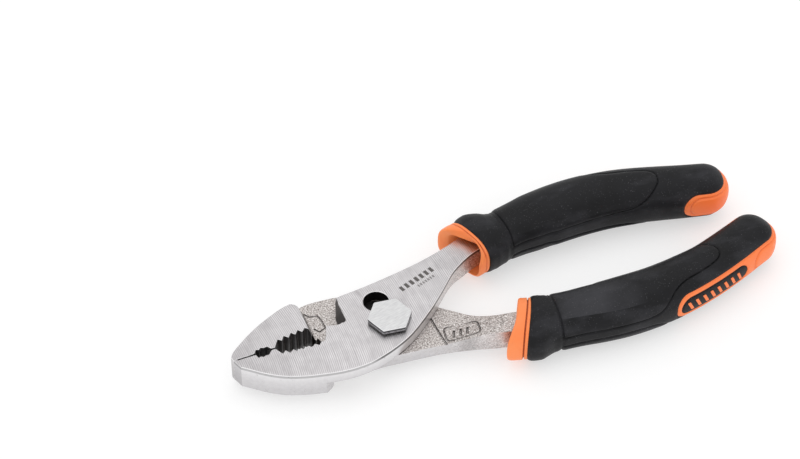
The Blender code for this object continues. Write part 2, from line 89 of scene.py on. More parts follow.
# pivot
SEAT = HALF_T + 0.3             # where the bolt head and the nut begin
HEAD_THICK, HEAD_RADIUS, HEAD_TURN = 1.9, 6.95, 113.6
NUT_THICK, NUT_RADIUS, NUT_TURN = 3.1, 6.7, 121.6
NECK_RADIUS, NECK_FLATS = 3.88, 5.2     # bolt neck and the width over its flats

# ------------------------------------------------------------------ outlines
# (x, y) is a point of a smooth run, (x, y, r) a corner rounded by r
FRONT = [
    (-49.5, 1.31, 0.06), (-48.5, 1.31, 0.06), (-48.2, 1.12, 0.1),
    (-43.4, 1.25, 0.2), (-42.5, 1.2, 0.1), (-42.1, -0.15, 0.1),
    (-41.3, 0.15, 0.1), (-40.6, -0.35, 0.1), (-39.8, 0.05, 0.1),
    (-38.9, -0.1, 0.1), (-38.1, 0.75, 0.2), (-37.4, 1.4, 0.2),
    (-36.3, 1.4, 0.1), (-34.8, -1.2, 0.12), (-33.6, -0.2, 0.12),
    (-32.6, -1.7, 0.12), (-31.3, -0.6, 0.12), (-30.2, -2.0, 0.12),
    (-29.0, -1.0, 0.12), (-28.0, -2.1, 0.12), (-26.7, -0.9, 0.12),
    (-25.7, -1.9, 0.12), (-24.5, -0.9, 0.12), (-23.4, -1.9, 0.12),
    (-22.3, -0.8, 0.12), (-21.3, -0.9, 0.3), (-20.0, 1.7, 0.6),
    (-19.0, 4.7, 0.9), (-16.2, 3.9), (-14.3, 3.9, 1.0), (-14.2, 9.4, 0.5),
    (-13.1, 12.3, 0.5), (-12.7, 14.0, 0.3), (-11.2, 14.5),
    (-7.0, 14.95), (-2.3, 15.55), (2.5, 16.3), (7.1, 17.1),
    (11.6, 17.95), (17.5, 19.25), (24.7, 21.3), (29.3, 22.95),
    (32.8, 24.35), (38.7, 26.0, 0.0), (40.5, 18.4, 0.0), (37.5, 17.65),
    (34.8, 16.85), (31.7, 15.45), (28.1, 13.3),
    (25.0, 11.0), (22.0, 8.0), (19.0, 4.9), (14.0, 0.1), (8.4, -4.6),
    (3.9, -7.9), (-0.6, -10.3), (-5.8, -12.4), (-11.1, -13.9),
    (-15.0, -14.3), (-18.4, -14.3), (-22.2, -13.9), (-27.0, -13.0),
    (-31.6, -11.9), (-36.1, -10.3), (-39.6, -8.5), (-42.8, -6.3),
    (-45.7, -3.9), (-48.3, -1.8, 0.12),
]
REAR = [
    (-49.55, 1.36, 0.06), (-48.5, 1.36, 0.06), (-48.2, 1.6, 0.1),
    (-43.4, 1.75, 0.2), (-42.6, 2.0, 0.1), (-42.0, 3.1, 0.1),
    (-41.1, 2.8, 0.1), (-40.3, 3.4, 0.1), (-39.5, 3.0, 0.1),
    (-38.4, 3.2, 0.1), (-37.5, 2.0, 0.2), (-36.3, 1.9, 0.1),
    (-34.5, 4.7, 0.12), (-33.4, 3.8, 0.12), (-32.3, 5.4, 0.12),
    (-31.1, 4.2, 0.12), (-29.9, 5.8, 0.12), (-28.8, 4.6, 0.12),
    (-27.6, 6.1, 0.12), (-26.5, 4.9, 0.12), (-25.3, 6.2, 0.12),
    (-24.5, 5.4, 0.12), (-23.9, 4.3, 0.12), (-23.2, 5.6, 0.12),
    (-22.5, 3.8, 0.12), (-21.8, 4.6, 0.12), (-21.3, 3.1, 0.12),
    (-20.4, 2.6, 0.4), (-20.0, 0.0), (-19.5, -3.2), (-18.2, -6.4),
    (-15.8, -9.0), (-12.0, -10.1), (-5.5, -10.2), (-0.5, -10.6),
    (6.0, -11.1), (12.7, -11.75), (19.6, -13.0), (26.5, -14.8),
    (31.7, -16.15), (34.2, -16.65), (37.4, -17.4, 0.0), (39.3, -10.2, 0.0),
    (36.2, -9.4), (34.0, -8.8),
    (31.5, -7.95), (27.7, -5.7), (23.9, -2.6), (20.2, 0.5), (16.7, 3.4),
    (13.0, 5.9), (8.5, 8.5), (4.0, 11.4), (-0.5, 13.8), (-5.5, 16.4), (-10.7, 18.1),
    (-16.0, 18.6), (-20.5, 18.6), (-23.4, 18.0), (-27.0, 16.85),
    (-29.6, 16.2), (-33.8, 14.4), (-37.8, 12.4), (-42.0, 9.85),
    (-46.6, 6.5), (-48.9, 4.5), (-50.0, 2.8, 0.3),
]

# ------------------------------------------------------------------ grip tables
# centre lines (x, y) from the collar to the tail
UPPER_LINE = [(34.1, 21.2), (39.9, 22.8), (47.6, 24.0), (56.6, 24.9),
              (65.6, 25.8), (74.6, 26.1), (83.6, 25.6), (91.6, 24.3),
              (99.6, 22.4), (107.5, 20.3), (114.9, 18.5)]
LOWER_LINE = [(36.0, -13.2), (42.0, -14.8), (50.0, -15.8), (58.0, -16.5),
              (66.0, -17.15), (74.0, -17.25), (83.0, -16.7), (92.0, -15.3),
              (101.0, -12.95), (110.1, -9.8), (119.7, -6.0)]
# stations: distance along the grip, half width, half height, outward shift
UPPER_SIZE = [(6.4, 9.2, 7.5, -0.2), (6.7, 9.5, 7.8, -0.05),
              (7.4, 9.9, 8.1, 0.3), (8.2, 9.95, 8.3, 0.35),
              (9.6, 9.2, 8.0, -0.2), (10.8, 8.35, 7.5, -0.95),
              (12.4, 8.0, 7.3, -0.85), (14.0, 8.05, 7.4, -0.65),
              (18.0, 8.3, 7.6, -0.4),
              (24.0, 8.95, 7.85, -0.1), (38.0, 9.2, 8.1, 0.0),
              (52.0, 9.0, 8.1, 0.0), (64.0, 8.6, 8.0, 0.0),
              (82.0, 8.1, 7.8, 0.0)]
LOWER_SIZE = [(6.4, 9.8, 7.5, 0.5), (6.8, 10.15, 7.95, 0.7),
              (7.6, 10.2, 8.15, 0.75), (8.5, 10.15, 8.15, 0.75),
              (9.6, 9.55, 7.9, 0.35), (10.8, 9.05, 7.65, 0.0),
              (12.4, 8.85, 7.45, -0.05), (14.0, 8.75, 7.45, 0.0),
              (18.0, 8.6, 7.6, 0.0), (26.0, 8.9, 7.9, 0.0),
              (36.0, 9.1, 8.1, 0.0), (48.0, 8.8, 8.1, 0.1),
              (62.0, 8.3, 8.0, 0.1), (84.0, 7.9, 7.8, 0.0)]
# edge: where the sleeve starts at the centre line, and its lean
# seam: the same for the groove round the sleeve's waist
UPPER_GRIP = dict(line=UPPER_LINE, size=UPPER_SIZE, side=1, lift=1.2,
                  edge=(1.25, 0.07), seam=(11.7, 0.0))
LOWER_GRIP = dict(line=LOWER_LINE, size=LOWER_SIZE, side=-1, lift=0.0,
                  edge=(4.55, 0.20), seam=(12.0, -(-0.045)))
# socket and mouth: outward shift and lift; face: distance, tilt and flare of
# the open face; floor: depth of the mouth; neck: half width in the groove
# behind the flange; grow: extra half width and shift of the flange
UPPER_COLLAR = dict(socket=(-0.5, -0.45), mouth=(-0.1, -0.3),
                    face=(-2.4, 0.13, 0.022), floor=6.6, neck=9.1, grow=0.0)
LOWER_COLLAR = dict(socket=(0.3, -0.75), mouth=(0.2, -0.6),
                    face=(0.0, 0.18, 0.028), floor=5.2, neck=8.75, grow=0.3)
# outline of the raised panel: distance along a grip of PANEL_GRIP length,
# and section angle in degrees from the outer side
PANEL_GRIP = 85.75
PANEL = [(12.6, 11), (27.4, 10), (38.5, 10), (43.2, 16), (46.2, 34),
         (49.3, 54), (53.9, 66), (62.0, 69), (67.0, 74), (69.2, 86),
         (69.3, 100), (67.4, 122), (64.6, 145), (60.0, 160), (52.0, 165),
         (40.0, 167), (26.0, 168), (12.6, 169)]


# ------------------------------------------------------------------ mesh tools
def world(p):
    """Millimetres from the joint plane to metres from the origin."""
    return (p[0] * 0.001, p[1] * 0.001, (p[2] - DROP) * 0.001)


def new_object(name, verts, faces):
    mesh = bpy.data.meshes.new(name)
    mesh.from_pydata(verts, [], faces)
    mesh.validate(verbose=False)
    bm = bmesh.new()
    bm.from_mesh(mesh)
    bmesh.ops.recalc_face_normals(bm, faces=bm.faces)
    bm.to_mesh(mesh)
    bm.free()
    ob = bpy.data.objects.new(name, mesh)
    bpy.context.scene.collection.objects.link(ob)
    mesh.shade_smooth()
    return ob


def bake(ob):
    """Replace an object's mesh by its evaluated one."""
    depsgraph = bpy.context.evaluated_depsgraph_get()
    mesh = bpy.data.meshes.new_from_object(ob.evaluated_get(depsgraph))
    ob.modifiers.clear()
    ob.data = mesh


def shade(ob, sharp_angle):
    ob.data.shade_smooth()
    ob.data.set_sharp_from_angle(angle=math.radians(sharp_angle))


def machine(ob, steps, sharp_angle=38.0):
    """Apply the (operation, tool) steps in turn to a piece in millimetres,
    delete the tools, and bring the piece to metres with hard edges."""
    for operation, tool in steps:
        cut = ob.modifiers.new("cut", 'BOOLEAN')
        cut.operation = operation
        cut.solver = 'EXACT'
        cut.object = tool
    bake(ob)
    for _, tool in steps:
        bpy.data.objects.remove(tool, do_unlink=True)
    for vertex in ob.data.vertices:
        vertex.co = world(vertex.co)
    ob.data.update()
    shade(ob, sharp_angle)
    normals = ob.modifiers.new("wn", 'WEIGHTED_NORMAL')
    normals.keep_sharp = True
    normals.weight = 60


def catmull(points, step):
    """A smooth curve through the points, sampled about every step."""
    pts = [Vector(q) for q in points]
    if len(pts) == 2:
        return pts
    ext = [pts[0] * 2 - pts[1]] + pts + [pts[-1] * 2 - pts[-2]]
    out = []
    for i in range(1, len(ext) - 2):
        a, b, c, d = ext[i - 1:i + 3]
        count = max(2, int(round((c - b).length / step)))
        for k in range(count):
            t = k / count
            out.append(0.5 * ((2 * b) + (c - a) * t
                              + (2 * a - 5 * b + 4 * c - d) * t * t
                              + (3 * b - a - 3 * c + d) * t ** 3))
    out.append(pts[-1])
    return out


def outline(items, step=0.7):
    """Turn smooth runs and corners into one closed counter-clockwise outline
    with the corner radius of each point, None inside a run."""
    count = len(items)
    first = next(i for i in range(count) if len(items[i]) == 3)
    order = [items[(first + i) % count] for i in range(count)] + [items[first]]
    poly, radii = [], []
    run = [order[0]]
    for item in order[1:]:
        run.append(item)
        if len(item) == 3:
            pts = catmull([q[:2] for q in run], step)
            poly += pts[:-1]
            radii += [run[0][2]] + [None] * (len(pts) - 2)
            run = [item]
    area = sum(p.x * q.y - q.x * p.y for p, q in zip(poly, poly[1:] + poly[:1]))
    if area < 0:
        poly.reverse()
        radii.reverse()
    return poly, radii


def rounded(poly, radii):
    """Replace each corner by a curve of five points."""
    out = []
    for i, (corner, radius) in enumerate(zip(poly, radii)):
        if not radius:
            out.append(corner)
            continue
        to_prev = poly[i - 1] - corner
        to_next = poly[(i + 1) % len(poly)] - corner
        reach_prev = min(radius, to_prev.length * 0.42)
        reach_next = min(radius, to_next.length * 0.42)
        start = corner + to_prev * (reach_prev / to_prev.length)
        end = corner + to_next * (reach_next / to_next.length)
        for k in range(5):
            t = k / 4
            out.append(start * (1 - t) ** 2 + corner * (2 * t * (1 - t))
                       + end * t * t)
    return out


def inset(poly, radii, depth):
    """Draw an outline in by depth, and its tight corners by less."""
    out = []
    for i, point in enumerate(poly):
        tight = radii[i] is not None and radii[i] <= 0.2
        d = depth * (0.35 if tight else 1.0)
        u = (point - poly[i - 1]).normalized()
        v = (poly[(i + 1) % len(poly)] - point).normalized()
        miter = Vector((-u.y, u.x)) + Vector((-v.y, v.x))
        k = miter.length_squared
        miter = miter * (2.0 / k) if k > 0.35 else miter.normalized() * 1.6
        out.append(point + miter * d)
    return out


def at_height(points, z):
    return [(x, y, z) for x, y in points]


def loft(name, rings, closed=False):
    """Skin over rings of equal count, capped unless closed into a loop."""
    verts = [tuple(p) for ring in rings for p in ring]
    n = len(rings[0])
    faces = []
    count = len(rings)
    for r in range(count if closed else count - 1):
        q = (r + 1) % count
        for i in range(n):
            j = (i + 1) % n
            faces.append((r * n + i, r * n + j, q * n + j, q * n + i))
    if not closed:
        faces.append(tuple(range(n - 1, -1, -1)))
        faces.append(tuple(range((count - 1) * n, count * n)))
    return new_object(name, verts, faces)


def rounded_prism(name, shape, z0, z1, edge, steps=3):
    """An extruded outline whose rims are rolled over by edge."""
    poly, radii = shape
    turns = [math.radians(90 * k / steps) for k in range(steps + 1)]
    levels = [(w, z0 + edge * (1 - math.cos(w))) for w in turns]
    levels += [(w, z1 - edge * (1 - math.cos(w))) for w in reversed(turns)]
    return loft(name, [
        at_height(rounded(inset(poly, radii, edge * (1 - math.sin(w))), radii), z)
        for w, z in levels])


def flat_prism(name, points, z0, z1):
    n = len(points)
    faces = [tuple(range(n - 1, -1, -1)), tuple(range(n, 2 * n))]
    faces += [(i, (i + 1) % n, n + (i + 1) % n, n + i) for i in range(n)]
    return new_object(name, at_height(points, z0) + at_height(points, z1), faces)


def circle(cx, cy, radius, count, start=0.0, sweep=360.0):
    """Points of a circle, or of an arc with both its ends; degrees."""
    gaps = count if sweep == 360.0 else count - 1
    angles = [math.radians(start + sweep * i / gaps) for i in range(count)]
    return [(cx + radius * math.cos(w), cy + radius * math.sin(w))
            for w in angles]


def turned(name, profile, count):
    """A solid round the pivot axis from (z, radius) pairs."""
    return loft(name, [at_height(circle(0, 0, r, count), z) for z, r in profile])


# ------------------------------------------------------------------ shader tools
class Value:
    """A node output; arithmetic on it adds Math nodes to its graph."""

    def __init__(self, graph, socket):
        self.graph, self.socket = graph, socket

    def __add__(self, other):
        return self.graph.math('ADD', self, other)

    def __sub__(self, other):
        return self.graph.math('SUBTRACT', self, other)

    def __rsub__(self, other):
        return self.graph.math('SUBTRACT', other, self)

    def __mul__(self, other):
        return self.graph.math('MULTIPLY', self, other)

    def __pow__(self, other):
        return self.graph.math('POWER', self, other)

    def __abs__(self):
        return self.graph.math('ABSOLUTE', self)

    def times_plus(self, factor, added):
        return self.graph.math('MULTIPLY_ADD', self, factor, added)

    def remap(self, source, target):
        """Map the span source onto the span target, clamped."""
        inputs = dict(enumerate((self, *source, *target)))
        return self.graph.node("MapRange", inputs, clamp=True)

    def rise(self, start, end, to=1.0):
        """0 up to start, growing to `to` at end."""
        return self.remap((start, end), (0.0, to))

    def fall(self, start, end, top=1.0):
        """`top` up to start, sinking to 0 at end."""
        return self.remap((start, end), (top, 0.0))

    def window(self, opening, closing):
        """1 between two soft limits, each a (start, end) span."""
        return self.rise(*opening) * self.fall(*closing)


class Graph:
    """A material's node tree; x, y, z and mm are object space millimetres,
    with z measured from the origin."""

    # first input, second input and output of the Mix node
    MIX_SOCKETS = {'FLOAT': (2, 3, 0), 'VECTOR': (4, 5, 1), 'RGBA': (6, 7, 2)}

    def __init__(self, name):
        self.material = bpy.data.materials.new(name)
        self.material.use_nodes = True
        self.tree = self.material.node_tree
        self.coord = self.tree.nodes.new("ShaderNodeTexCoord").outputs
        self.mm = self.node("VectorMath", {
            0: Value(self, self.coord["Object"]), "Scale": 1000.0},
            operation='SCALE')
        self.x, self.y, self.z = self.split(self.mm)

    def put(self, socket, value):
        if isinstance(value, Value):
            self.tree.links.new(value.socket, socket)
        elif isinstance(value, tuple) and socket.type == 'RGBA':
            socket.default_value = (*value, 1.0)
        else:
            socket.default_value = value

    def node(self, kind, inputs, output=0, **settings):
        node = self.tree.nodes.new("ShaderNode" + kind)
        for key, value in settings.items():
            setattr(node, key, value)
        for key, value in inputs.items():
            self.put(node.inputs[key], value)
        return Value(self, node.outputs[output])

    def split(self, vector):
        node = self.tree.nodes.new("ShaderNodeSeparateXYZ")
        self.put(node.inputs[0], vector)
        return [Value(self, socket) for socket in node.outputs]

    def normal(self):
        return self.split(Value(self, self.coord["Normal"]))

    def math(self, operation, a, b=0.0, c=0.0):
        return self.node("Math", {0: a, 1: b, 2: c}, operation=operation)

    def maximum(self, a, b):
        return self.math('MAXIMUM', a, b)

    def vector(self, x, y, z):
        return self.node("CombineXYZ", {0: x, 1: y, 2: z})

    def vector_math(self, operation, a, b=(0.0, 0.0, 0.0)):
        output = 1 if operation in ('DISTANCE', 'DOT_PRODUCT') else 0
        return self.node("VectorMath", {0: a, 1: b}, output,
                         operation=operation)

    def dot(self, direction):
        return self.vector_math('DOT_PRODUCT', self.mm, direction)

    def plan(self):
        """The position dropped onto the XY plane."""
        return self.vector(self.x, self.y, 0.0)

    def plan_distance(self, centre):
        return self.vector_math('DISTANCE', self.plan(), centre)

    def noise(self, vector, scale, detail=2.0, rough=0.5):
        return self.node("TexNoise", {"Vector": vector, "Scale": scale,
                                      "Detail": detail, "Roughness": rough})

    def cells(self, vector, scale):
        return self.node("TexVoronoi", {"Vector": vector, "Scale": scale},
                         "Distance")

    def ramp(self, fac, stops):
        node = self.tree.nodes.new("ShaderNodeValToRGB")
        elements = node.color_ramp.elements
        while len(elements) < len(stops):
            elements.new(0.5)
        for element, (position, color) in zip(elements, stops):
            element.position = position
            element.color = (*color, 1.0)
        self.put(node.inputs[0], fac)
        return Value(self, node.outputs[0])

    def mix(self, amount, a, b, kind='RGBA'):
        first, second, output = self.MIX_SOCKETS[kind]
        return self.node("Mix", {0: amount, first: a, second: b}, output,
                         data_type=kind)

    def mix_float(self, amount, a, b):
        return self.mix(amount, a, b, 'FLOAT')

    def bump(self, height, depth_mm, strength, normal=None):
        inputs = {"Strength": strength, "Distance": depth_mm * 0.001,
                  "Height": height}
        if normal is not None:
            inputs["Normal"] = normal
        return self.node("Bump", inputs)

    def hollow(self, reach_mm):
        """1 in the open, towards 0 in corners and cut lines."""
        return self.node("AmbientOcclusion", {"Distance": reach_mm * 0.001},
                         "AO", samples=6, only_local=True)

    def soft_edges(self, radius_mm):
        return self.node("Bevel", {"Radius": radius_mm * 0.001}, samples=4)

    def finish(self, inputs):
        bsdf = self.tree.nodes["Principled BSDF"]
        for name, value in inputs.items():
            self.put(bsdf.inputs[name], value)
        return self.material


# ------------------------------------------------------------------ steel halves
GRIND_CENTRE = (-120.0, -1.0, 0.0)      # the grinding arcs run round this point


class Steel(Graph):
    """Surface-ground faces, satin walls and blasted forging skin."""

    def __init__(self, name, front):
        super().__init__(name)
        self.front = front
        self.height = self.z + DROP             # above the joint plane
        self.normal_x, _, normal_z = self.normal()
        self.level = abs(normal_z)              # 1 on faces square to Z
        self.flat = self.level.rise(0.90, 0.97)
        self.ground = self.flat * abs(self.height).rise(4.2, 4.4)

    def ground_color(self):
        """Fine grinding arcs round a far centre, with painted shade that darkens the face
        away from the joint.
        """
        radius = self.plan_distance(GRIND_CENTRE)
        wobble = self.noise(self.vector(radius * 0.25, self.y * 0.05, 0.0),
                            scale=1.0)
        phase = radius * 10.4 + wobble * 7.0
        comb = self.math('SINE', phase).times_plus(0.5, 0.5)
        along = self.vector(radius, self.y * 0.03, self.height * 0.05)
        self.fine = self.noise(along, scale=6.5)
        coarse = self.noise(along, scale=0.7, detail=1.0)
        patch = self.noise(self.mm, scale=0.22)
        broad = self.noise(self.mm, scale=0.06)
        comb = comb * patch.remap((0.30, 0.62), (0.35, 1.0))
        self.lines = comb * 0.50 + (self.fine * 0.32 + coarse * 0.18)
        color = self.mix(self.lines.rise(0.25, 0.75),
                         (0.49, 0.47, 0.48), (0.83, 0.81, 0.82))
        color = self.mix(broad.rise(0.35, 0.65, to=0.35), color,
                         (0.62, 0.60, 0.605))
        # painted shade: darker away from the joint
        away = abs(self.x + 6.0)
        return self.mix(away.rise(14.0, 46.0, to=0.20), color,
                        (0.20, 0.19, 0.195))

    def forged_color(self):
        """Mottled skin with dark pits."""
        coarse = self.noise(self.mm, scale=1.9, detail=3.0, rough=0.6)
        self.speckle = self.noise(self.mm, scale=3.2)
        pits = self.cells(self.mm, scale=0.9)
        self.skin = coarse * 0.5 + self.speckle * 0.5
        color = self.ramp(self.skin, [(0.37, (0.13, 0.105, 0.095)),
                                      (0.45, (0.40, 0.36, 0.34)),
                                      (0.53, (0.66, 0.62, 0.60)),
                                      (0.62, (0.95, 0.92, 0.90))])
        return self.mix(pits.fall(0.0, 0.22, top=0.35), color,
                        (0.17, 0.14, 0.12))

    def wall_color(self, forged):
        """Satin walls, passing into forging skin towards the handles."""
        self.grain = self.noise(
            self.vector(self.x * 0.35, self.y * 0.35, self.height * 0.35),
            scale=2.2, detail=4.0, rough=0.6)
        color = self.mix(self.grain.rise(0.35, 0.65), (0.68, 0.665, 0.675),
                         (0.76, 0.745, 0.755))
        # painted shade at the foot and painted light at the top of the walls
        tall = self.height.rise(-4.5, 4.3) ** 2.2
        color = self.mix(tall, self.mix(0.72, (0.34, 0.33, 0.34), color),
                         self.mix(0.55, (0.96, 0.95, 0.96), color))
        # dark spots in patches, strongest near the upper rim
        stretched = self.vector_math('MULTIPLY', self.mm, (0.7, 0.7, 1.4))
        spots = (self.cells(stretched, scale=1.1).fall(0.10, 0.24)
                 * self.noise(self.mm, scale=0.5).rise(0.50, 0.62))
        near_rim = abs(self.height - 3.9).remap((0.2, 1.6), (0.9, 0.12))
        color = self.mix(spots * near_rim, color, (0.10, 0.09, 0.09))
        # painted shade: walls that look towards -X are darker
        minus_x_shade = self.normal_x.fall(-0.92, -0.75, top=0.40)
        color = self.mix(minus_x_shade, color, (0.22, 0.21, 0.22))
        if self.front:
            self.worn = self.x.rise(2.0, 32.0, to=0.8)
        else:
            self.worn = self.x.remap((8.0, 34.0), (0.1, 0.7))
        return self.mix(self.worn, color, forged)

    def dark_parts(self):
        """How dark the slot is, and the painted shade on the tooth flanks and along the
        cut lines.
        """
        in_jaw = self.x.window((-44.6, -44.2), (-19.6, -19.2))
        in_jaw = in_jaw * self.y.window((-3.2, -2.8), (6.8, 7.2))
        # painted shade on the tooth flanks, deepest on those that face -X
        tooth = in_jaw * (self.wall
                          * self.normal_x.remap((-0.3, 0.5), (1.06, 0.80)))
        slot = (self.plan_distance((*SLIP, 0.0)).fall(4.25, 4.45)
                * (1.0 - self.ground))
        dark = self.maximum(tooth * 0.86, slot * 0.97)
        return self.dark_front(dark) if self.front else self.dark_rear(dark)

    def dark_front(self, dark):
        """Add painted shadow on the notch wall behind the jaw and a painted shadow line
        along the upper rim of the walls.
        """
        notch = (self.x.window((-14.9, -14.8), (-11.7, -11.6))
                 * self.y.window((4.1, 4.5), (13.6, 13.9)))
        notch = notch * (1.0 - self.ground)
        rim = (self.x.remap((-11.0, -7.0), (0.42, 0.85))
               * (self.wall * self.height.rise(3.2, 3.6)))
        return self.maximum(dark, self.maximum(notch * 0.9, rim))

    def dark_rear(self, dark):
        """Add painted shadow on the recess wall and painted shade in the pressed lines of
        the arm and recess.
        """
        lip = (self.x.window((-29.2, -29.0), (-22.6, -22.4))
               * (self.normal_x.rise(0.5, 0.7) * self.y.rise(4.0, 5.0)))
        dark = self.maximum(dark, lip * 0.85)
        arm = self.x - 13.0
        press = (arm.window((-0.5, -0.3), (13.2, 13.4))
                 * (arm.times_plus(0.24, self.y).rise(-11.5, -11.2)
                    * arm.times_plus(0.78, self.y).fall(3.9, 4.2)))
        corner = (self.x.window((-22.5, -22.3), (-17.6, -17.4))
                  * self.y.window((6.0, 6.2), (15.2, 15.4)))
        sloping = self.level.fall(0.86, 0.95)
        press = sloping * self.maximum(press, corner)
        return self.maximum(dark, press * 0.72)

    def etched_marks(self):
        """Two rows of plain bars on the upper ground face."""
        across = self.dot((0.935, 0.354, 0.0))
        upward = self.dot((-0.354, 0.935, 0.0))
        u = across - 10.5
        v = upward - 5.85

        def row(first, last, low, high, pitch, soft):
            in_u = u.window((first, first + 0.12), (last, last + 0.12))
            in_v = v.window((low, low + 0.12), (high, high + 0.12))
            wave = self.math('FRACT', (u - first) * (1.0 / pitch))
            bars = wave.window((0.0, soft), (0.56, 0.56 + soft))
            return bars * (in_u * in_v)

        large = row(first=0.0, last=13.9, low=0.0, high=2.0, pitch=2.0,
                    soft=0.06)
        small = row(first=5.0, last=12.0, low=-2.0, high=-1.0, pitch=1.0,
                    soft=0.1)
        mark = self.maximum(large, small * 0.75)
        return mark * self.ground * self.height.rise(4.0, 4.3)

    def build(self):
        on_ground = self.ground_color()
        forged = self.forged_color()
        on_wall = self.wall_color(forged)
        self.wall = 1.0 - self.level.rise(0.5, 0.8)
        color = self.mix(self.ground, self.mix(self.wall, forged, on_wall),
                         on_ground)
        # painted shade on the tooth flanks and cut lines, and the dark slot
        color = self.mix(self.dark_parts(), color, (0.035, 0.033, 0.032))
        # painted highlight on the broken edges round the ground faces
        edge_highlight = (self.level.rise(0.22, 0.45, to=0.85) * (1.0 - self.flat)
                 * abs(self.height).rise(4.15, 4.28))
        color = self.mix(edge_highlight, color, (0.97, 0.96, 0.97))
        # painted shade in the corners and cut lines
        corner_shade = self.hollow(0.9).fall(0.35, 0.92, top=0.85)
        color = self.mix(corner_shade, color, (0.07, 0.055, 0.048))
        rough_wall = self.mix_float(
            self.worn, self.grain.remap((0.3, 0.7), (0.26, 0.38)), 0.44)
        rough = self.mix_float(
            self.wall, self.speckle.remap((0.3, 0.7), (0.40, 0.58)), rough_wall)
        rough = self.mix_float(
            self.ground, rough, self.fine.remap((0.3, 0.7), (0.26, 0.40)))
        edge = self.soft_edges(0.22)
        skin_bump = self.bump(self.skin, 0.11, 0.6, edge)
        line_bump = self.bump(self.lines, 0.012, 0.6, edge)
        skin_amount = (1.0 - self.ground) * self.mix_float(
            self.wall, 1.0, self.mix_float(self.worn, 0.05, 0.7))
        normal = self.mix(skin_amount, line_bump, skin_bump, 'VECTOR')
        if self.front:
            mark = self.etched_marks()
            color = self.mix(mark * 0.88, color, (0.09, 0.08, 0.075))
            rough = self.mix_float(mark, rough, 0.55)
        outward = self.vector_math('SUBTRACT', self.plan(), GRIND_CENTRE)
        tangent = self.vector_math('NORMALIZE', self.vector_math(
            'CROSS_PRODUCT', outward, (0.0, 0.0, 1.0)))
        return self.finish({
            "Base Color": color,
            "Roughness": rough,
            "Metallic": self.mix_float(self.ground, 0.92, 1.0),
            "Normal": normal,
            "Anisotropic": self.mix_float(self.ground, 0.0, 0.45),
            "Tangent": tangent,
        })


# ------------------------------------------------------------------ other materials
def bolt_steel(name, line_angle):
    """Brushed ends with lines at line_angle degrees, and sides banded with painted shade
    and a painted highlight.
    """
    g = Graph(name)
    end = abs(g.normal()[2]).rise(0.9, 0.98)
    c, s = math.cos(math.radians(line_angle)), math.sin(math.radians(line_angle))
    along = g.dot((c, s, 0.0))
    across = g.dot((-s, c, 0.0))
    lines = g.noise(g.vector(along * 0.15, across, g.z), scale=2.6, detail=3.0)
    blot = g.noise(g.mm, scale=0.35, detail=3.0)
    on_end = g.mix(lines.rise(0.35, 0.65), (0.66, 0.66, 0.665),
                   (0.80, 0.80, 0.80))
    on_end = g.mix(blot.rise(0.35, 0.7, to=0.3), on_end, (0.60, 0.60, 0.61))
    on_side = g.mix(g.noise(g.mm, scale=1.6, detail=3.0).rise(0.35, 0.65),
                    (0.16, 0.16, 0.165), (0.55, 0.55, 0.57))
    # painted shade: a dark band under the head's rim and a dark foot; a painted highlight
    # on the rim
    above_seat = g.z + (DROP - SEAT)
    band = above_seat.rise(1.05, 1.2, to=0.9) * above_seat.fall(1.6, 1.72)
    on_side = g.mix(band, on_side, (0.05, 0.05, 0.052))
    on_side = g.mix(above_seat.fall(0.30, 0.52, top=0.92), on_side,
                    (0.02, 0.02, 0.02))
    on_side = g.mix(above_seat.rise(1.72, 1.80, to=0.9), on_side,
                    (0.95, 0.95, 0.96))
    return g.finish({
        "Base Color": g.mix(end, on_side, on_end),
        "Roughness": g.mix_float(end, 0.38, lines.remap((0.3, 0.7), (0.30, 0.42))),
        "Metallic": 1.0,
        "Normal": g.bump(lines, 0.01, 0.5, g.soft_edges(0.2)),
    })


def rubber(name):
    """Near-black rubber with smears, light dust, a painted highlight patch and painted
    shade in the grooves.
    """
    g = Graph(name)
    grain = g.noise(g.mm, scale=4.5, detail=3.0, rough=0.6)
    broad = g.noise(g.mm, scale=0.09, detail=3.0)
    smear = g.noise(g.vector_math('MULTIPLY', g.mm, (0.05, 0.12, 0.12)),
                    scale=1.0, detail=4.0, rough=0.6)
    color = g.mix(broad.rise(0.35, 0.65), (0.005, 0.005, 0.006),
                  (0.010, 0.010, 0.012))
    color = g.mix(smear.rise(0.50, 0.72, to=0.55), color,
                  (0.045, 0.045, 0.052))
    # painted highlight: a paler patch on the lower grip's top, only where z is not below
    # the origin
    patch = (g.plan_distance((60.0, -20.0, 0.0))
             + g.noise(g.mm, scale=0.12, detail=3.0) * 16.0)
    patch = patch.fall(10.0, 24.0, top=0.55) * g.z.rise(-0.006, 0.0)
    color = g.mix(patch, color, (0.060, 0.060, 0.068))
    # dust: cell scale, speck size, noise level where it starts, patch scale
    for scale, size, gate, patch_scale in ((1.7, 0.10, 0.44, 0.27),
                                           (0.9, 0.075, 0.46, 0.31)):
        dust = g.cells(g.mm, scale)
        moved = g.vector_math('ADD', g.mm, (31.0 * scale, 7.0, 3.0))
        where = g.noise(moved, patch_scale)
        speck = (dust.fall(size, size * 1.6)
                 * where.rise(gate - 0.06, gate + 0.10))
        color = g.mix(speck * 0.5, color, (0.17, 0.17, 0.18))
    # painted shade in the grooves and corners
    color = g.mix(g.hollow(0.7).fall(0.45, 0.9, top=0.9), color,
                  (0.002, 0.002, 0.0025))
    return g.finish({
        "Base Color": color,
        "Roughness": broad.remap((0.3, 0.7), (0.44, 0.56)),
        "Specular IOR Level": 0.20,
        "Sheen Weight": 0.02,
        "Sheen Roughness": 0.4,
        "Normal": g.bump(grain, 0.035, 0.55),
    })


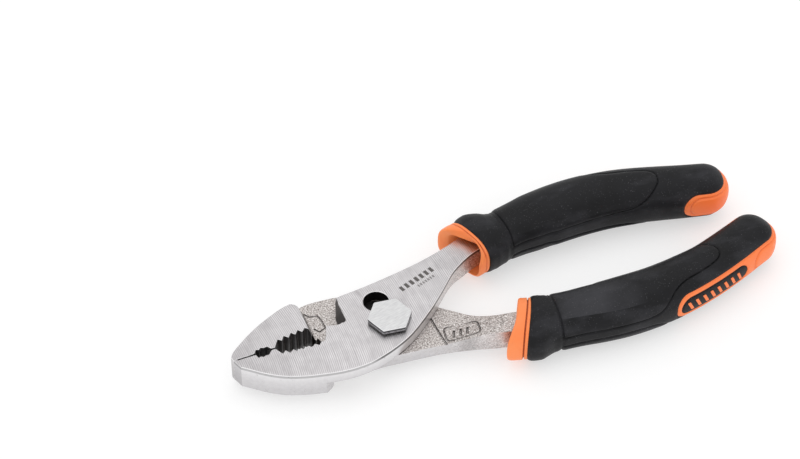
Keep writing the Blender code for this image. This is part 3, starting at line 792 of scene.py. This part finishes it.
def orange(name):
    """Orange plastic, redder towards the tail, with painted shade in the cut lines and
    deep in the collar.
    """
    g = Graph(name)
    grain = g.noise(g.mm, scale=3.5, detail=3.0, rough=0.6)
    broad = g.noise(g.mm, scale=0.12, detail=3.0)
    rub = g.noise(g.mm, scale=0.8, detail=4.0, rough=0.65)
    color = g.mix(broad.rise(0.35, 0.65), (1.0, 0.255, 0.070),
                  (1.0, 0.290, 0.090))
    color = g.mix(g.x.rise(60.0, 100.0, to=0.8), color, (1.0, 0.205, 0.045))
    color = g.mix(rub.rise(0.60, 0.75, to=0.18), color, (0.90, 0.15, 0.03))
    # painted shade: first in the cut lines, then deep inside the collar
    color = g.mix(g.hollow(0.7).fall(0.40, 0.9, top=0.75), color,
                  (0.42, 0.05, 0.01))
    color = g.mix(g.hollow(3.2).fall(0.10, 0.36, top=0.9), color,
                  (0.22, 0.022, 0.006))
    return g.finish({
        "Base Color": color,
        "Roughness": rub.remap((0.3, 0.7), (0.38, 0.50)),
        "Specular IOR Level": 0.4,
        "Normal": g.bump(grain, 0.02, 0.5),
    })


MATERIALS = {
    "front": Steel("front_steel", front=True).build(),
    "rear": Steel("rear_steel", front=False).build(),
    "bolt": bolt_steel("bolt_head_steel", line_angle=15.0),
    "nut": bolt_steel("nut_steel_look", line_angle=60.0),
    "black": rubber("grip_rubber"),
    "orange": orange("grip_orange"),
    "badge": rubber("badge_rubber"),
}


def dress(ob, material, body, slot, *nodes):
    """Give a piece its material and tell the frame what it belongs to."""
    ob.data.materials.clear()
    ob.data.materials.append(MATERIALS[material])
    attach(ob, body)
    if nodes:
        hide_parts(*nodes)


# ------------------------------------------------------------------ grip line
def pchip(table, column, s):
    """Smooth monotone curve through one column of a size table."""
    x = np.array([row[0] for row in table], float)
    y = np.array([row[column] for row in table], float)
    h = np.diff(x)
    d = np.diff(y) / h
    m = np.zeros(len(x))
    for i in range(1, len(x) - 1):
        if d[i - 1] * d[i] > 0:
            w1, w2 = 2 * h[i] + h[i - 1], h[i] + 2 * h[i - 1]
            m[i] = (w1 + w2) / (w1 / d[i - 1] + w2 / d[i])
    m[-1] = d[-1]
    s = np.clip(np.asarray(s, float), x[0], x[-1])
    i = np.clip(np.searchsorted(x, s) - 1, 0, len(x) - 2)
    t = (s - x[i]) / h[i]
    return ((2 * t**3 - 3 * t**2 + 1) * y[i] + (t**3 - 2 * t**2 + t) * h[i] * m[i]
            + (-2 * t**3 + 3 * t**2) * y[i + 1] + (t**3 - t**2) * h[i] * m[i + 1])


class Spine:
    """The centre line of a grip, with its sizes along it."""

    def __init__(self, line, size, side, lift, edge, seam):
        self.points = np.array([tuple(q) for q in catmull(line, 0.35)])
        lengths = np.linalg.norm(np.diff(self.points, axis=0), axis=1)
        self.distance = np.r_[0.0, np.cumsum(lengths)]
        self.length = float(self.distance[-1])
        self.size, self.side, self.lift = size, side, lift
        self.edge, self.seam = edge, seam
        tangent = np.gradient(self.points, axis=0)
        for _ in range(12):
            tangent[1:-1] = (tangent[:-2] + 2 * tangent[1:-1] + tangent[2:]) / 4
        self.tangent = tangent / np.linalg.norm(tangent, axis=1)[:, None]

    def sample(self, table, s):
        return np.stack([np.interp(s, self.distance, table[:, k])
                         for k in (0, 1)], -1)

    def place(self, s, n, z):
        """Point of grip coordinates: s along, n outwards, z up."""
        s, n, z = np.broadcast_arrays(np.asarray(s, float), n, z)
        inside = np.clip(s, 0.0, self.length)
        position = self.sample(self.points, inside)
        t = self.sample(self.tangent, inside)
        t /= np.linalg.norm(t, axis=-1)[..., None]
        position = position + t * (s - inside)[..., None]
        outward = np.stack([-t[..., 1] * self.side, t[..., 0] * self.side], -1)
        xy = position + outward * np.asarray(n)[..., None]
        return np.concatenate([xy, (np.asarray(z) + self.lift)[..., None]], -1)

    def half(self, s):
        """Half width and half height at s."""
        return pchip(self.size, 1, s), pchip(self.size, 2, s)

    def shift(self, s):
        return np.interp(s, [row[0] for row in self.size],
                         [row[3] for row in self.size])


def super_ring(count, power=2.4):
    """Angles and unit points of a superellipse."""
    w = 2 * np.pi * (np.arange(count) + 0.5) / count
    c, q = np.cos(w), np.sin(w)
    n = np.sign(c) * np.abs(c) ** (2 / power)
    z = np.sign(q) * np.abs(q) ** (2 / power)
    return w, n, z


# ------------------------------------------------------------------ forging tools
def ramp_height(t):
    """Height of the S-shaped ramp at the fraction t of its length."""
    rise = 0.35 * t + 0.65 * (t * t * (3 - 2 * t))
    return -GAP_Z + (ARM_BACK + GAP_Z) * rise


def ramp_tool(name, normal, start, sign):
    """Clears the space above (sign 1) or below (-1) a ramp."""
    nx, ny = normal
    k = math.hypot(nx, ny)
    nx, ny = nx / k, ny / k
    mx, my = -ny, nx
    profile = [(start - 8.0, 1.2), (start, -GAP_Z)]
    profile += [(start + RAMP * (i / 12), ramp_height(i / 12))
                for i in range(1, 13)]
    profile += [(start + 45.0, ARM_BACK), (start + 45.0, 9.0), (start - 8.0, 9.0)]
    return loft(name, [[(nx * u + mx * v, ny * u + my * v, sign * z)
                        for u, z in profile] for v in (-45.0, 45.0)])


def ramp_line(normal, start):
    """The two ends of a long line where a recess runs into its ramp."""
    nx, ny = Vector(normal).normalized()
    start += RECESS_OVERLAP
    return [(nx * start - ny * v, ny * start + nx * v) for v in (-40.0, 40.0)]


def slot_points(grow):
    """Two overlapping circles, one at each pivot position."""
    r, half = SLOT_RADIUS + grow, SLOT_HALF_NECK + grow
    a = math.degrees(math.asin(half / r))
    sweep = 360 - 2 * a
    return (circle(0, 0, r, 41, SLIP_TURN + a, sweep)
            + circle(*SLIP, r, 41, SLIP_TURN + 180 + a, sweep))


def chamfered_cut(name, outline_of, z_lo, z_hi, chamfer):
    """A through cut that opens out by chamfer at both faces."""
    levels = [(z_lo - 1.0, chamfer + 1.0), (z_lo, chamfer), (z_lo + chamfer, 0.0),
              (z_hi - chamfer, 0.0), (z_hi, chamfer), (z_hi + 1.0, chamfer + 1.0)]
    return loft(name, [at_height(outline_of(grow), z) for z, grow in levels])


def rear_height(x, y):
    """Height of the rear half's upper skin next to the joint."""
    u = (RAMP_N[0] * x - RAMP_N[1] * y) / math.hypot(*RAMP_N) - REAR_RAMP
    return ramp_height(min(max(u / RAMP, 0.0), 1.0))


def groove(name, path, radius, closed=False, height=rear_height):
    """A thin tube that follows a skin, used to cut a line into it."""
    pts = [Vector((x, y, height(x, y))) for x, y in path]
    n = len(pts)
    rings = []
    for i, p in enumerate(pts):
        before = pts[i - 1] if i or closed else p
        after = pts[(i + 1) % n] if i < n - 1 or closed else p
        along = (after - before).normalized()
        side = along.cross(Vector((0, 0, 1))).normalized()
        up = side.cross(along)
        rings.append([tuple(p + side * (radius * math.cos(w))
                            + up * (radius * math.sin(w)))
                      for w in (math.radians(36 * k) for k in range(10))])
    return loft(name, rings, closed=closed)


def rounded_box(cx, cy, width, height, radius, turn):
    """A rectangle with rounded corners, turned by turn degrees."""
    c, q = math.cos(math.radians(turn)), math.sin(math.radians(turn))
    out = []
    for sx, sy, start in ((1, 1, 0), (-1, 1, 90), (-1, -1, 180), (1, -1, 270)):
        for k in range(6):
            w = math.radians(start + 18 * k)
            x = sx * (width / 2 - radius) + radius * math.cos(w)
            y = sy * (height / 2 - radius) + radius * math.sin(w)
            out.append((cx + c * x - q * y, cy + q * x + c * y))
    return out


def tang_rings(spine, lift0, shift0):
    """The tapering bar inside a grip; lift0 and shift0 fade out along it."""
    rings = []
    _, cn, cz = super_ring(40, 5.0)
    for s in (-2.2, 0.0, 4.0, 9.0, 14.0, 20.0, 26.0, 38.0, 48.0, 58.0):
        taper = min(max((s + 2.2) / 58.0, 0.0), 1.0)
        half_w, half_h = 3.25 - 0.9 * taper, 3.35 - 0.9 * taper
        half_h -= 0.3 * (spine.side > 0)
        lift = lift0 * (1.0 - min(max((s + 2.0) / 26.0, 0.0), 1.0))
        shift = shift0 * (1.0 - min(max((s + 2.0) / 22.0, 0.0), 1.0))
        rings.append(spine.place(s, shift + half_w * cn, lift + half_h * cz))
    return rings


# ------------------------------------------------------------------ forgings
EDGE_ROLL = 0.28                # rolled rim of both forgings

# (x, y) of the recess walls at the jaw side of the joint
FRONT_SHOULDER = [(-26.2, -22.0), (-25.7, -13.9), (-25.0, -13.2), (-24.2, -12.7),
                  (-23.3, -12.2), (-22.6, -11.5), (-22.1, -10.7), (-21.9, -9.8),
                  (-21.9, 22.0)]
REAR_SHOULDER = [(-26.3, 26.0), (-26.0, 18.0), (-25.2, 16.95), (-24.2, 16.5),
                 (-23.4, 15.95), (-22.9, 15.1), (-22.7, 13.9), (-22.7, 9.7),
                 (-22.75, 6.6), (-22.8, -22.0)]
REAR_SHOULDER_SLOPE = 1.65 / 4.65       # lean towards -X per height
# (x, y) of the slanting cut in the notch behind the jaw, low and high
NOTCH_LOW = [(-19.0, 20.0), (-16.0, 5.6), (-15.4, 5.3), (-14.9, 5.2),
             (-14.7, 5.6), (-14.6, 9.3), (-13.5, 12.2), (-12.75, 20.0)]
NOTCH_HIGH = [(-19.0, 20.0), (-16.0, 4.05), (-13.2, 3.7), (-12.45, 4.0),
              (-12.05, 4.8), (-12.0, 9.0), (-12.1, 12.2), (-12.1, 20.0)]
# (x, y) of the line across the rear arm and of the line in the recess corner
ARM_CREASE = [(13.1, 2.4), (13.2, 0.0), (13.35, -3.0), (13.5, -6.0),
              (13.7, -9.0), (13.95, -11.2), (14.0, -12.6)]
RECESS_LINE = [(-24.0, 15.4), (-22.4, 14.9), (-21.4, 13.5), (-18.9, 13.1),
               (-18.5, 11.6), (-18.15, 7.7), (-20.4, 6.7), (-21.6, 8.4)]


def front_forging(spine):
    ob = rounded_prism("front_forging", outline(FRONT), -HALF_T, HALF_T,
                       EDGE_ROLL)
    right = ramp_line(RAMP_N, FRONT_RAMP)
    recess = flat_prism("recess", FRONT_SHOULDER + right[::-1], -9.0, GAP_Z)
    ramp = ramp_tool("ramp", RAMP_N, FRONT_RAMP, -1)
    slot = chamfered_cut("slot", slot_points, GAP_Z, HALF_T, chamfer=0.22)
    notch = loft("notch", [at_height(NOTCH_LOW, -0.6),
                           at_height(NOTCH_HIGH, 5.2)])
    tang = loft("tang", tang_rings(spine, lift0=-0.1, shift0=-0.2))
    machine(ob, [('DIFFERENCE', recess), ('DIFFERENCE', ramp),
                 ('DIFFERENCE', slot), ('UNION', tang), ('DIFFERENCE', notch)])
    dress(ob, "front", "front", "ground_steel", "front_half")


def rear_forging(spine):
    ob = rounded_prism("rear_forging", outline(REAR), -HALF_T, HALF_T,
                       EDGE_ROLL)
    normal = (RAMP_N[0], -RAMP_N[1])
    right = ramp_line(normal, REAR_RAMP)
    rings = []
    for z in (-GAP_Z, 9.0):
        lean = (z + GAP_Z) * REAR_SHOULDER_SLOPE
        rings.append(at_height([(x - lean, y) for x, y in REAR_SHOULDER] + right,
                               z))
    cuts = [
        loft("recess", rings),
        ramp_tool("ramp", normal, REAR_RAMP, 1),
        chamfered_cut("hole", lambda grow: circle(0, 0, 3.3 + grow, 64),
                      -HALF_T, -GAP_Z, chamfer=0.2),
        groove("crease", ARM_CREASE, 0.34),
        groove("frame", rounded_box(20.2, -8.9, width=10.6, height=5.6,
                                    radius=1.3, turn=-8.0), 0.32, closed=True),
        groove("recess_line", RECESS_LINE, 0.30, height=lambda x, y: -GAP_Z),
    ]
    # three slanted strokes inside the frame
    cuts += [groove("stroke", [(17.0 + 2.1 * i, -10.3 - 0.25 * i),
                               (17.5 + 2.1 * i, -8.9 - 0.28 * i),
                               (18.1 + 2.1 * i, -7.4 - 0.3 * i)], 0.38)
             for i in range(3)]
    tang = loft("tang", tang_rings(spine, lift0=-0.75, shift0=0.3))
    machine(ob, [('DIFFERENCE', cut) for cut in cuts] + [('UNION', tang)])
    dress(ob, "rear", "rear", "forged_steel", "rear_half")


# ------------------------------------------------------------------ pivot
def hexagon(radius, turn):
    """A hexagon with slightly rounded corners, as an outline."""
    return [Vector(p) for p in (
        (radius * math.cos(math.radians(turn + 60 * i)),
         radius * math.sin(math.radians(turn + 60 * i))) for i in range(6))
    ], [0.35] * 6


def pivot_bolt():
    head = rounded_prism("pivot_bolt_look", hexagon(HEAD_RADIUS, HEAD_TURN),
                         SEAT, SEAT + HEAD_THICK, edge=0.16)
    # a neck with two flats along the slot, then a round shank
    cut = math.degrees(math.acos(NECK_FLATS / 2 / NECK_RADIUS))
    start, sweep = SLIP_TURN + 90 + cut, 180 - 2 * cut
    neck_points = (circle(0, 0, NECK_RADIUS, 25, start - 180, sweep)
                   + circle(0, 0, NECK_RADIUS, 25, start, sweep))
    neck = flat_prism("neck", neck_points, -0.05, SEAT + 0.6)
    tail = -(SEAT + NUT_THICK - 0.4)
    shank = turned("shank", [(0.1, 3.2), (tail + 0.5, 3.2), (tail + 0.15, 3.0),
                             (tail, 2.7)], 64)
    machine(head, [('UNION', neck), ('UNION', shank)], 30)
    dress(head, "bolt", "pivot", "bolt_steel", "pivot_bolt")


def pivot_nut():
    top = -SEAT
    bottom = top - NUT_THICK
    nut = rounded_prism("pivot_nut_look", hexagon(NUT_RADIUS, NUT_TURN),
                        bottom, top, edge=0.12, steps=2)
    cone = turned("cone", [(bottom, 5.75), (top - 2.5, 6.8), (top + 0.2, 6.9)],
                  72)
    bore = chamfered_cut("bore", lambda grow: circle(0, 0, 3.5 + grow, 64),
                         bottom, top, chamfer=0.35)
    machine(nut, [('INTERSECT', cone), ('DIFFERENCE', bore)], 30)
    dress(nut, "nut", "pivot", "nut_steel", "pivot_nut")


# ------------------------------------------------------------------ grip skins
def bar_distance(s, z, start, half, r):
    """Signed distance to a bar that starts at start and runs on without end,
    with corners rounded by r."""
    qx = (start + r) - s
    qz = np.abs(z) - (half - r)
    out = np.hypot(np.maximum(qx, 0), np.maximum(qz, 0))
    return out + np.minimum(np.maximum(qx, qz), 0) - r


def pill_distance(s, z, start, end, half):
    """Signed distance to a bar with round ends."""
    middle, straight = (start + end) / 2, (end - start) / 2 - half
    return np.hypot(np.maximum(np.abs(s - middle) - straight, 0), z) - half


def poly_distance(s, u, poly):
    """Signed distance to a closed outline, negative inside."""
    p = np.stack([s.ravel(), u.ravel()], 1)
    best = np.full(len(p), 1e9)
    inside = np.zeros(len(p), bool)
    for i in range(len(poly)):
        a, b = np.array(poly[i]), np.array(poly[(i + 1) % len(poly)])
        e = b - a
        w = p - a
        t = np.clip((w @ e) / (e @ e), 0, 1)
        best = np.minimum(best, np.hypot(*(w - t[:, None] * e).T))
        spans = (a[1] > p[:, 1]) != (b[1] > p[:, 1])
        with np.errstate(divide='ignore', invalid='ignore'):
            crossing = (b[0] - a[0]) * (p[:, 1] - a[1]) / (b[1] - a[1]) + a[0]
        inside ^= spans & (p[:, 0] < crossing)
    return np.where(inside, -best, best).reshape(s.shape)


def bell(d, width):
    return np.exp(-(d / width) ** 2)


def girth_at(degrees):
    """Distance round a typical section from its outer side to an angle."""
    w = np.radians(np.arange(0, 181, 1.0))
    n = 8.9 * np.sign(np.cos(w)) * np.abs(np.cos(w)) ** (2 / 2.4)
    z = 8.0 * np.abs(np.sin(w)) ** (2 / 2.4)
    d = np.r_[0, np.cumsum(np.hypot(np.diff(n), np.diff(z)))]
    return np.interp(degrees, np.arange(0, 181, 1.0), d)


class Grip:
    """The outer skin of one grip as a dense grid, rows along the grip and
    columns round it. S, N, Z are the grid's grip coordinates."""

    ROW_STEP = 0.3
    COLUMNS = 216

    def __init__(self, spine):
        self.spine = spine
        self.make_grid()
        self.make_regions()
        self.points = self.base + self.normals * self.relief()[..., None]

    def make_grid(self):
        spine = self.spine
        length = spine.length
        s_main = np.arange(6.4, length, self.ROW_STEP)
        w_cap = np.radians(np.linspace(0, 88.0, 26))[:, None]
        a_end, b_end = (float(v) for v in spine.half(length))
        self.angles, cn, cz = super_ring(self.COLUMNS)
        a, b = spine.half(s_main)
        # the long part, then the round tail
        self.S = np.vstack([np.repeat(s_main[:, None], self.COLUMNS, 1),
                            length + a_end * np.sin(w_cap) + 0 * cn])
        self.N = np.vstack([a[:, None] * cn + spine.shift(s_main)[:, None],
                            a_end * np.cos(w_cap) * cn])
        self.Z = np.vstack([b[:, None] * cz, b_end * np.cos(w_cap) * cz])
        # the first rows are pulled to the leaning edge at the collar
        at, lean = spine.edge
        pull = np.clip((12.4 - self.S) / 6.0, 0, 1) ** 1.3
        along = self.S + (at - lean * self.N - 6.4) * pull
        self.base = base = spine.place(along, self.N, self.Z)
        normals = np.cross(np.gradient(base, axis=0),
                           np.roll(base, -1, 1) - np.roll(base, 1, 1))
        normals /= np.linalg.norm(normals, axis=-1)[..., None] + 1e-12
        middle = spine.place(along, 0.0 * self.N, 0.0 * self.Z)
        outward = np.sign(((base - middle) * normals).sum(-1))
        self.normals = normals * outward[..., None]

    def make_regions(self):
        """Distances to the orange tail, the pad on it and the badge; orange
        and pad reach further on the outer side than on the inner side."""
        length = self.spine.length
        outer = self.N > 0
        start = np.where(outer, length - 37.0, length - 7.6)
        corner = np.where(outer, 4.0, 4.6)
        self.d_orange = bar_distance(self.S, self.Z, start, 4.85, corner)
        start = np.where(outer, length - 6.6, length - 5.6)
        self.d_pad = bar_distance(self.S, self.Z, start, 3.75, 3.5)
        pill = pill_distance(self.S, self.Z, length - 35.7, length - 10.0, 3.4)
        self.d_badge = np.where(outer, pill, 9.0)

    def panel_distance(self):
        """Distance to the raised panel, mirrored on top and bottom."""
        degrees = np.degrees(self.angles)
        fold = np.where(degrees > 180, 360 - degrees, degrees)
        girth = np.repeat(girth_at(fold)[None, :], self.S.shape[0], 0)
        stretch = self.spine.length / PANEL_GRIP
        smooth = catmull([(s * stretch, float(girth_at(t)))
                          for s, t in PANEL[1:-1]], 1.0)
        # the two ends at the waist aren't stretched
        first, last = ((s, float(girth_at(t))) for s, t in (PANEL[0], PANEL[-1]))
        return poly_distance(self.S, girth,
                             [first] + [tuple(q) for q in smooth] + [last])

    def relief(self):
        """Height of the surface detail over the plain skin."""
        d_panel = self.panel_distance()
        black = np.clip((self.d_orange - 0.5) / 0.6, 0, 1)
        near = np.clip((self.spine.length + 2 - self.S) / 3.0, 0, 1)
        # groove round the panel, and the panel itself
        d = -0.50 * bell(d_panel, 0.27) * black * near
        d += 0.14 * np.clip(-d_panel / 1.2, 0, 1) * near * black
        # groove round the waist
        at, lean = self.spine.seam
        d -= 0.24 * bell(self.S - (at + lean * self.N), 0.45)
        # inner side: sunk near the collar, raised further along
        inner = np.clip((-np.cos(self.angles) - 0.80) / 0.12, 0, 1)[None, :]
        t = np.clip((self.S - 24.5) / 5.0, 0, 1)
        step = t * t * (3 - 2 * t)
        fade = np.clip((66.0 - self.S) / 8.0, 0, 1)
        d += inner * black * (0.45 * step * fade - 0.25 * (1 - step)
                              * np.clip((self.S - 13.0) / 3.0, 0, 1))
        # the seam between black and orange, the pad and the badge's rim
        d -= 0.38 * bell(self.d_orange, 0.34)
        inside = np.clip(-self.d_orange / 0.5, 0, 1)
        d -= 0.34 * bell(self.d_pad, 0.30) * inside
        d += 0.16 * np.clip(-self.d_pad / 0.8, 0, 1)
        d -= 0.30 * bell(self.d_badge, 0.30) * inside
        return d

    def cut(self, field, extra=0.0):
        """The part of the skin where field > 0, cut exactly along the line
        field = 0 and raised by extra, as vertices and faces."""
        points = self.points + self.normals * extra
        rows, columns = field.shape
        verts, index, faces = [], {}, []

        def corner(cell):
            if cell not in index:
                index[cell] = len(verts)
                verts.append(tuple(points[cell]))
            return index[cell]

        def crossing(a, b):
            a, b = key = (min(a, b), max(a, b))
            if key not in index:
                t = min(max(field[a] / (field[a] - field[b]), 0.02), 0.98)
                index[key] = len(verts)
                verts.append(tuple(points[a] * (1 - t) + points[b] * t))
            return index[key]

        kept = field > 0
        for r in range(rows - 1):
            for c in range(columns):
                d = (c + 1) % columns
                quad = ((r, c), (r, d), (r + 1, d), (r + 1, c))
                keep = [kept[q] for q in quad]
                if all(keep):
                    faces.append(tuple(corner(q) for q in quad))
                elif any(keep):
                    loop = []
                    for a, b in zip(quad, quad[1:] + quad[:1]):
                        if kept[a]:
                            loop.append(corner(a))
                        if kept[a] != kept[b]:
                            loop.append(crossing(a, b))
                    if len(loop) >= 3:
                        faces.append(tuple(loop))
        if kept[rows - 1].all():
            faces.append(tuple(corner((rows - 1, c)) for c in range(columns)))
        return verts, faces


def thick_skin(name, skin, thickness):
    """An object from cut skin, with its wall grown inwards."""
    verts, faces = skin
    ob = new_object(name, [world(v) for v in verts], faces)
    wall = ob.modifiers.new("wall", 'SOLIDIFY')
    wall.thickness = thickness * 0.001
    wall.offset = -1.0
    wall.use_even_offset = False
    bake(ob)
    shade(ob, 50)
    return ob


def badge_bars(grip):
    """Distance to the plain slanted bars on the badge, negative inside."""
    pitch, half_width, half_length = 2.7, 0.50, 1.75
    u = (grip.S - (grip.spine.length - 32.6)) + 0.45 * grip.Z
    cell = np.mod(u + pitch / 2, pitch) - pitch / 2
    bars = np.maximum(np.abs(cell) - half_width, np.abs(grip.Z) - half_length)
    bars = np.maximum(bars, np.maximum(-(u + 1.3), u - 20.2))
    return np.where(grip.N > 0, bars, 9.0)


def build_grip(tag, spine, collar_sizes, body):
    grip = Grip(spine)
    sleeve = thick_skin(tag + "_sleeve_skin", grip.cut(grip.d_orange), 1.3)
    dress(sleeve, "black", body, "sleeve_black", tag + "_sleeve")
    # orange tail with the badge's window
    field = np.minimum(-grip.d_orange, grip.d_badge - 0.06)
    band = thick_skin(tag + "_band_skin", grip.cut(field), 1.3)
    dress(band, "orange", body, "core_orange", tag + "_core")
    badge = thick_skin(tag + "_badge_skin",
                       grip.cut(-(grip.d_badge + 0.06), -0.12), 0.9)
    dress(badge, "badge", body, "badge_black", tag + "_badge")
    marks = thick_skin(tag + "_badge_bars", grip.cut(-badge_bars(grip), 0.02),
                       0.3)
    dress(marks, "orange", body, "core_orange")
    collar = build_collar(tag, spine, **collar_sizes)
    dress(collar, "orange", body, "core_orange", tag + "_core")


def build_collar(tag, spine, socket, mouth, face, floor, neck, grow):
    """The orange flange with its square mouth, a closed ring of sections.
    Its open face leans towards the jaws on the outer side."""
    count = 120
    upper = spine.side > 0
    face_at, tilt, flare = face
    edge_at, lean = spine.edge
    # kind, position, half width, half height, power, outward shift, lift
    # 'm' is measured from the mouth's rim, 'f' runs 0..1 from the open face
    # to the flange's back, 'b' is measured from the sleeve's edge and 's'
    # along the grip
    profile = [
        ('s', floor + 5.0, 3.65, 3.75, 5.0, *socket),
        ('s', floor + 0.2, 3.7, 3.8, 5.0, *socket),
        ('s', floor, 4.7, 4.3, 5.5, *socket),
        ('m', 1.7, 5.15, 4.6, 6.5, *mouth),
        ('m', 0.18, 5.72, 5.02, 7.0, *mouth),
        ('m', 0.0, 5.9, 5.15, 7.0, mouth[0], mouth[1] * 0.8),
        ('f', 0.0, 7.9, 6.6, 3.4, 0.1, 0.0),
        ('f', 0.02, 8.25, 6.9, 3.3, 0.15, 0.0),
        ('f', 0.06, 8.6, 7.12, 3.2, 0.2, 0.0),
        ('f', 0.13, 8.85, 7.28, 3.0, 0.2, 0.0),
        ('f', 0.30, 9.05, 7.38, 2.9, 0.25, 0.0),
        ('f', 0.60, 9.25, 7.42, 2.7, 0.3, 0.0),
        ('f', 0.88, 9.38, 7.45, 2.6, 0.3, 0.0),
        ('f', 0.97, 9.3, 7.4, 2.6, 0.3, 0.0),
        ('f', 1.0, 9.0, 7.05, 2.5, 0.3, 0.0),
        ('b', -1.25, neck, neck - 1.95, 2.5, 0.3, 0.0),
        ('b', -1.02, neck, neck - 1.95, 2.5, 0.3, 0.0),
        ('b', -0.95, 9.2, 7.25, 2.5, 0.3, 0.0),
        ('b', -0.75, 9.4, 7.42, 2.5, 0.3, 0.0),
        ('b', -0.15, 9.4, 7.45, 2.5, 0.3, 0.0),
        ('b', 0.15, 9.2, 7.25, 2.5, 0.3, 0.0),
        ('b', 0.25, 7.0, 6.2, 2.6, 0.0, 0.0),
        ('s', 8.2, 6.0, 5.6, 2.6, 0.0, 0.0),
        ('s', floor + 6.0, 5.0, 5.0, 3.0, 0.0, 0.0),
    ]
    rings = []
    for kind, t, half_w, half_h, power, shift, lift in profile:
        _, cn, cz = super_ring(count, power)
        extra = grow if half_w > 8.5 else 0.0
        n = shift + extra + (half_w + extra) * cn
        z = lift + half_h * cz
        front = (face_at - tilt * n - flare * np.clip(n, 0, 12) ** 2
                 + 0.25 * np.abs(z) / 7.0)
        if upper:
            # set back on top, towards the inner side
            front = front + (2.2 * np.clip(z / 7.4, 0, 1) ** 1.5
                             * np.clip((6.0 - n) / 5.0, 0, 1))
        edge = edge_at - lean * n
        if kind == 'm':
            s = (-0.58 - 0.478 * n if upper else front) + t
        elif kind == 'f':
            s = front + (edge - 1.35 - front) * t
        elif kind == 'b':
            s = edge + t
        else:
            s = np.full(count, t)
        rings.append([world(q) for q in spine.place(s, n, z)])
    ob = loft(tag + "_collar_skin", rings, closed=True)
    shade(ob, 31)
    return ob


# ------------------------------------------------------------------ stage, in metres
LIGHT_TARGET = (0.035, 0.0, -0.007)
# name, place, width and height, power in watts
LIGHTS = [
    ("overhead", (0.05, 0.20, 0.80), (0.7, 0.5), 0.75),
    ("left", (-0.65, -0.15, 0.45), (0.5, 0.5), 0.35),
    ("front", (0.1, -0.8, 0.5), (0.7, 0.4), 0.20),
    ("right", (0.75, -0.25, 0.30), (0.5, 0.4), 0.22),
]


def add_floor():
    n = 1.6                             # half the floor's width
    z = CAD_BOX[0][2] - 0.00005         # just under the tool
    mesh = bpy.data.meshes.new("floor")
    mesh.from_pydata([(-n, -n, z), (n, -n, z), (n, n, z), (-n, n, z)], [],
                     [(0, 1, 2, 3)])
    floor = bpy.data.objects.new("floor", mesh)
    bpy.context.scene.collection.objects.link(floor)
    material = bpy.data.materials.new("floor_white")
    material.use_nodes = True
    inputs = material.node_tree.nodes["Principled BSDF"].inputs
    inputs["Base Color"].default_value = (0.52, 0.52, 0.52, 1)
    inputs["Roughness"].default_value = 0.9
    inputs["Specular IOR Level"].default_value = 0.1
    inputs["Emission Color"].default_value = (1.0, 1.0, 1.0, 1)
    inputs["Emission Strength"].default_value = 0.52
    mesh.materials.append(material)


def add_world():
    studio = bpy.data.worlds.new("studio")
    bpy.context.scene.world = studio
    studio.use_nodes = True
    inputs = studio.node_tree.nodes["Background"].inputs
    inputs["Color"].default_value = (1.0, 1.0, 1.0, 1.0)
    inputs["Strength"].default_value = 0.88


def add_lights():
    for name, place, size, power in LIGHTS:
        light = bpy.data.lights.new(name, 'AREA')
        light.shape = 'RECTANGLE'
        light.size, light.size_y = size
        light.energy = power
        ob = bpy.data.objects.new(name, light)
        ob.location = place
        ob.rotation_euler = (Vector(LIGHT_TARGET) - Vector(place)).to_track_quat(
            '-Z', 'Y').to_euler()
        bpy.context.scene.collection.objects.link(ob)


def add_camera():
    camera = bpy.data.cameras.new("camera")
    camera.lens = 108.0
    camera.sensor_width = 36.0
    camera.clip_start = 0.01
    camera.clip_end = 10.0
    ob = bpy.data.objects.new("camera", camera)
    ob.location = (-0.16973, -0.45081, 0.55420 - DROP * 0.001)
    ob.rotation_euler = (math.radians(90.0 - 46.626), 0.0,
                         math.radians(-21.0))
    bpy.context.scene.collection.objects.link(ob)
    bpy.context.scene.camera = ob
    bpy.context.scene.view_settings.view_transform = 'Standard'


# ------------------------------------------------------------------ build
upper_spine = Spine(**UPPER_GRIP)
lower_spine = Spine(**LOWER_GRIP)

front_forging(upper_spine)
rear_forging(lower_spine)
pivot_bolt()
pivot_nut()
build_grip("upper", upper_spine, UPPER_COLLAR, "front")
build_grip("lower", lower_spine, LOWER_COLLAR, "rear")

add_floor()
add_world()
add_lights()
add_camera()

bpy.context.view_layer.update()
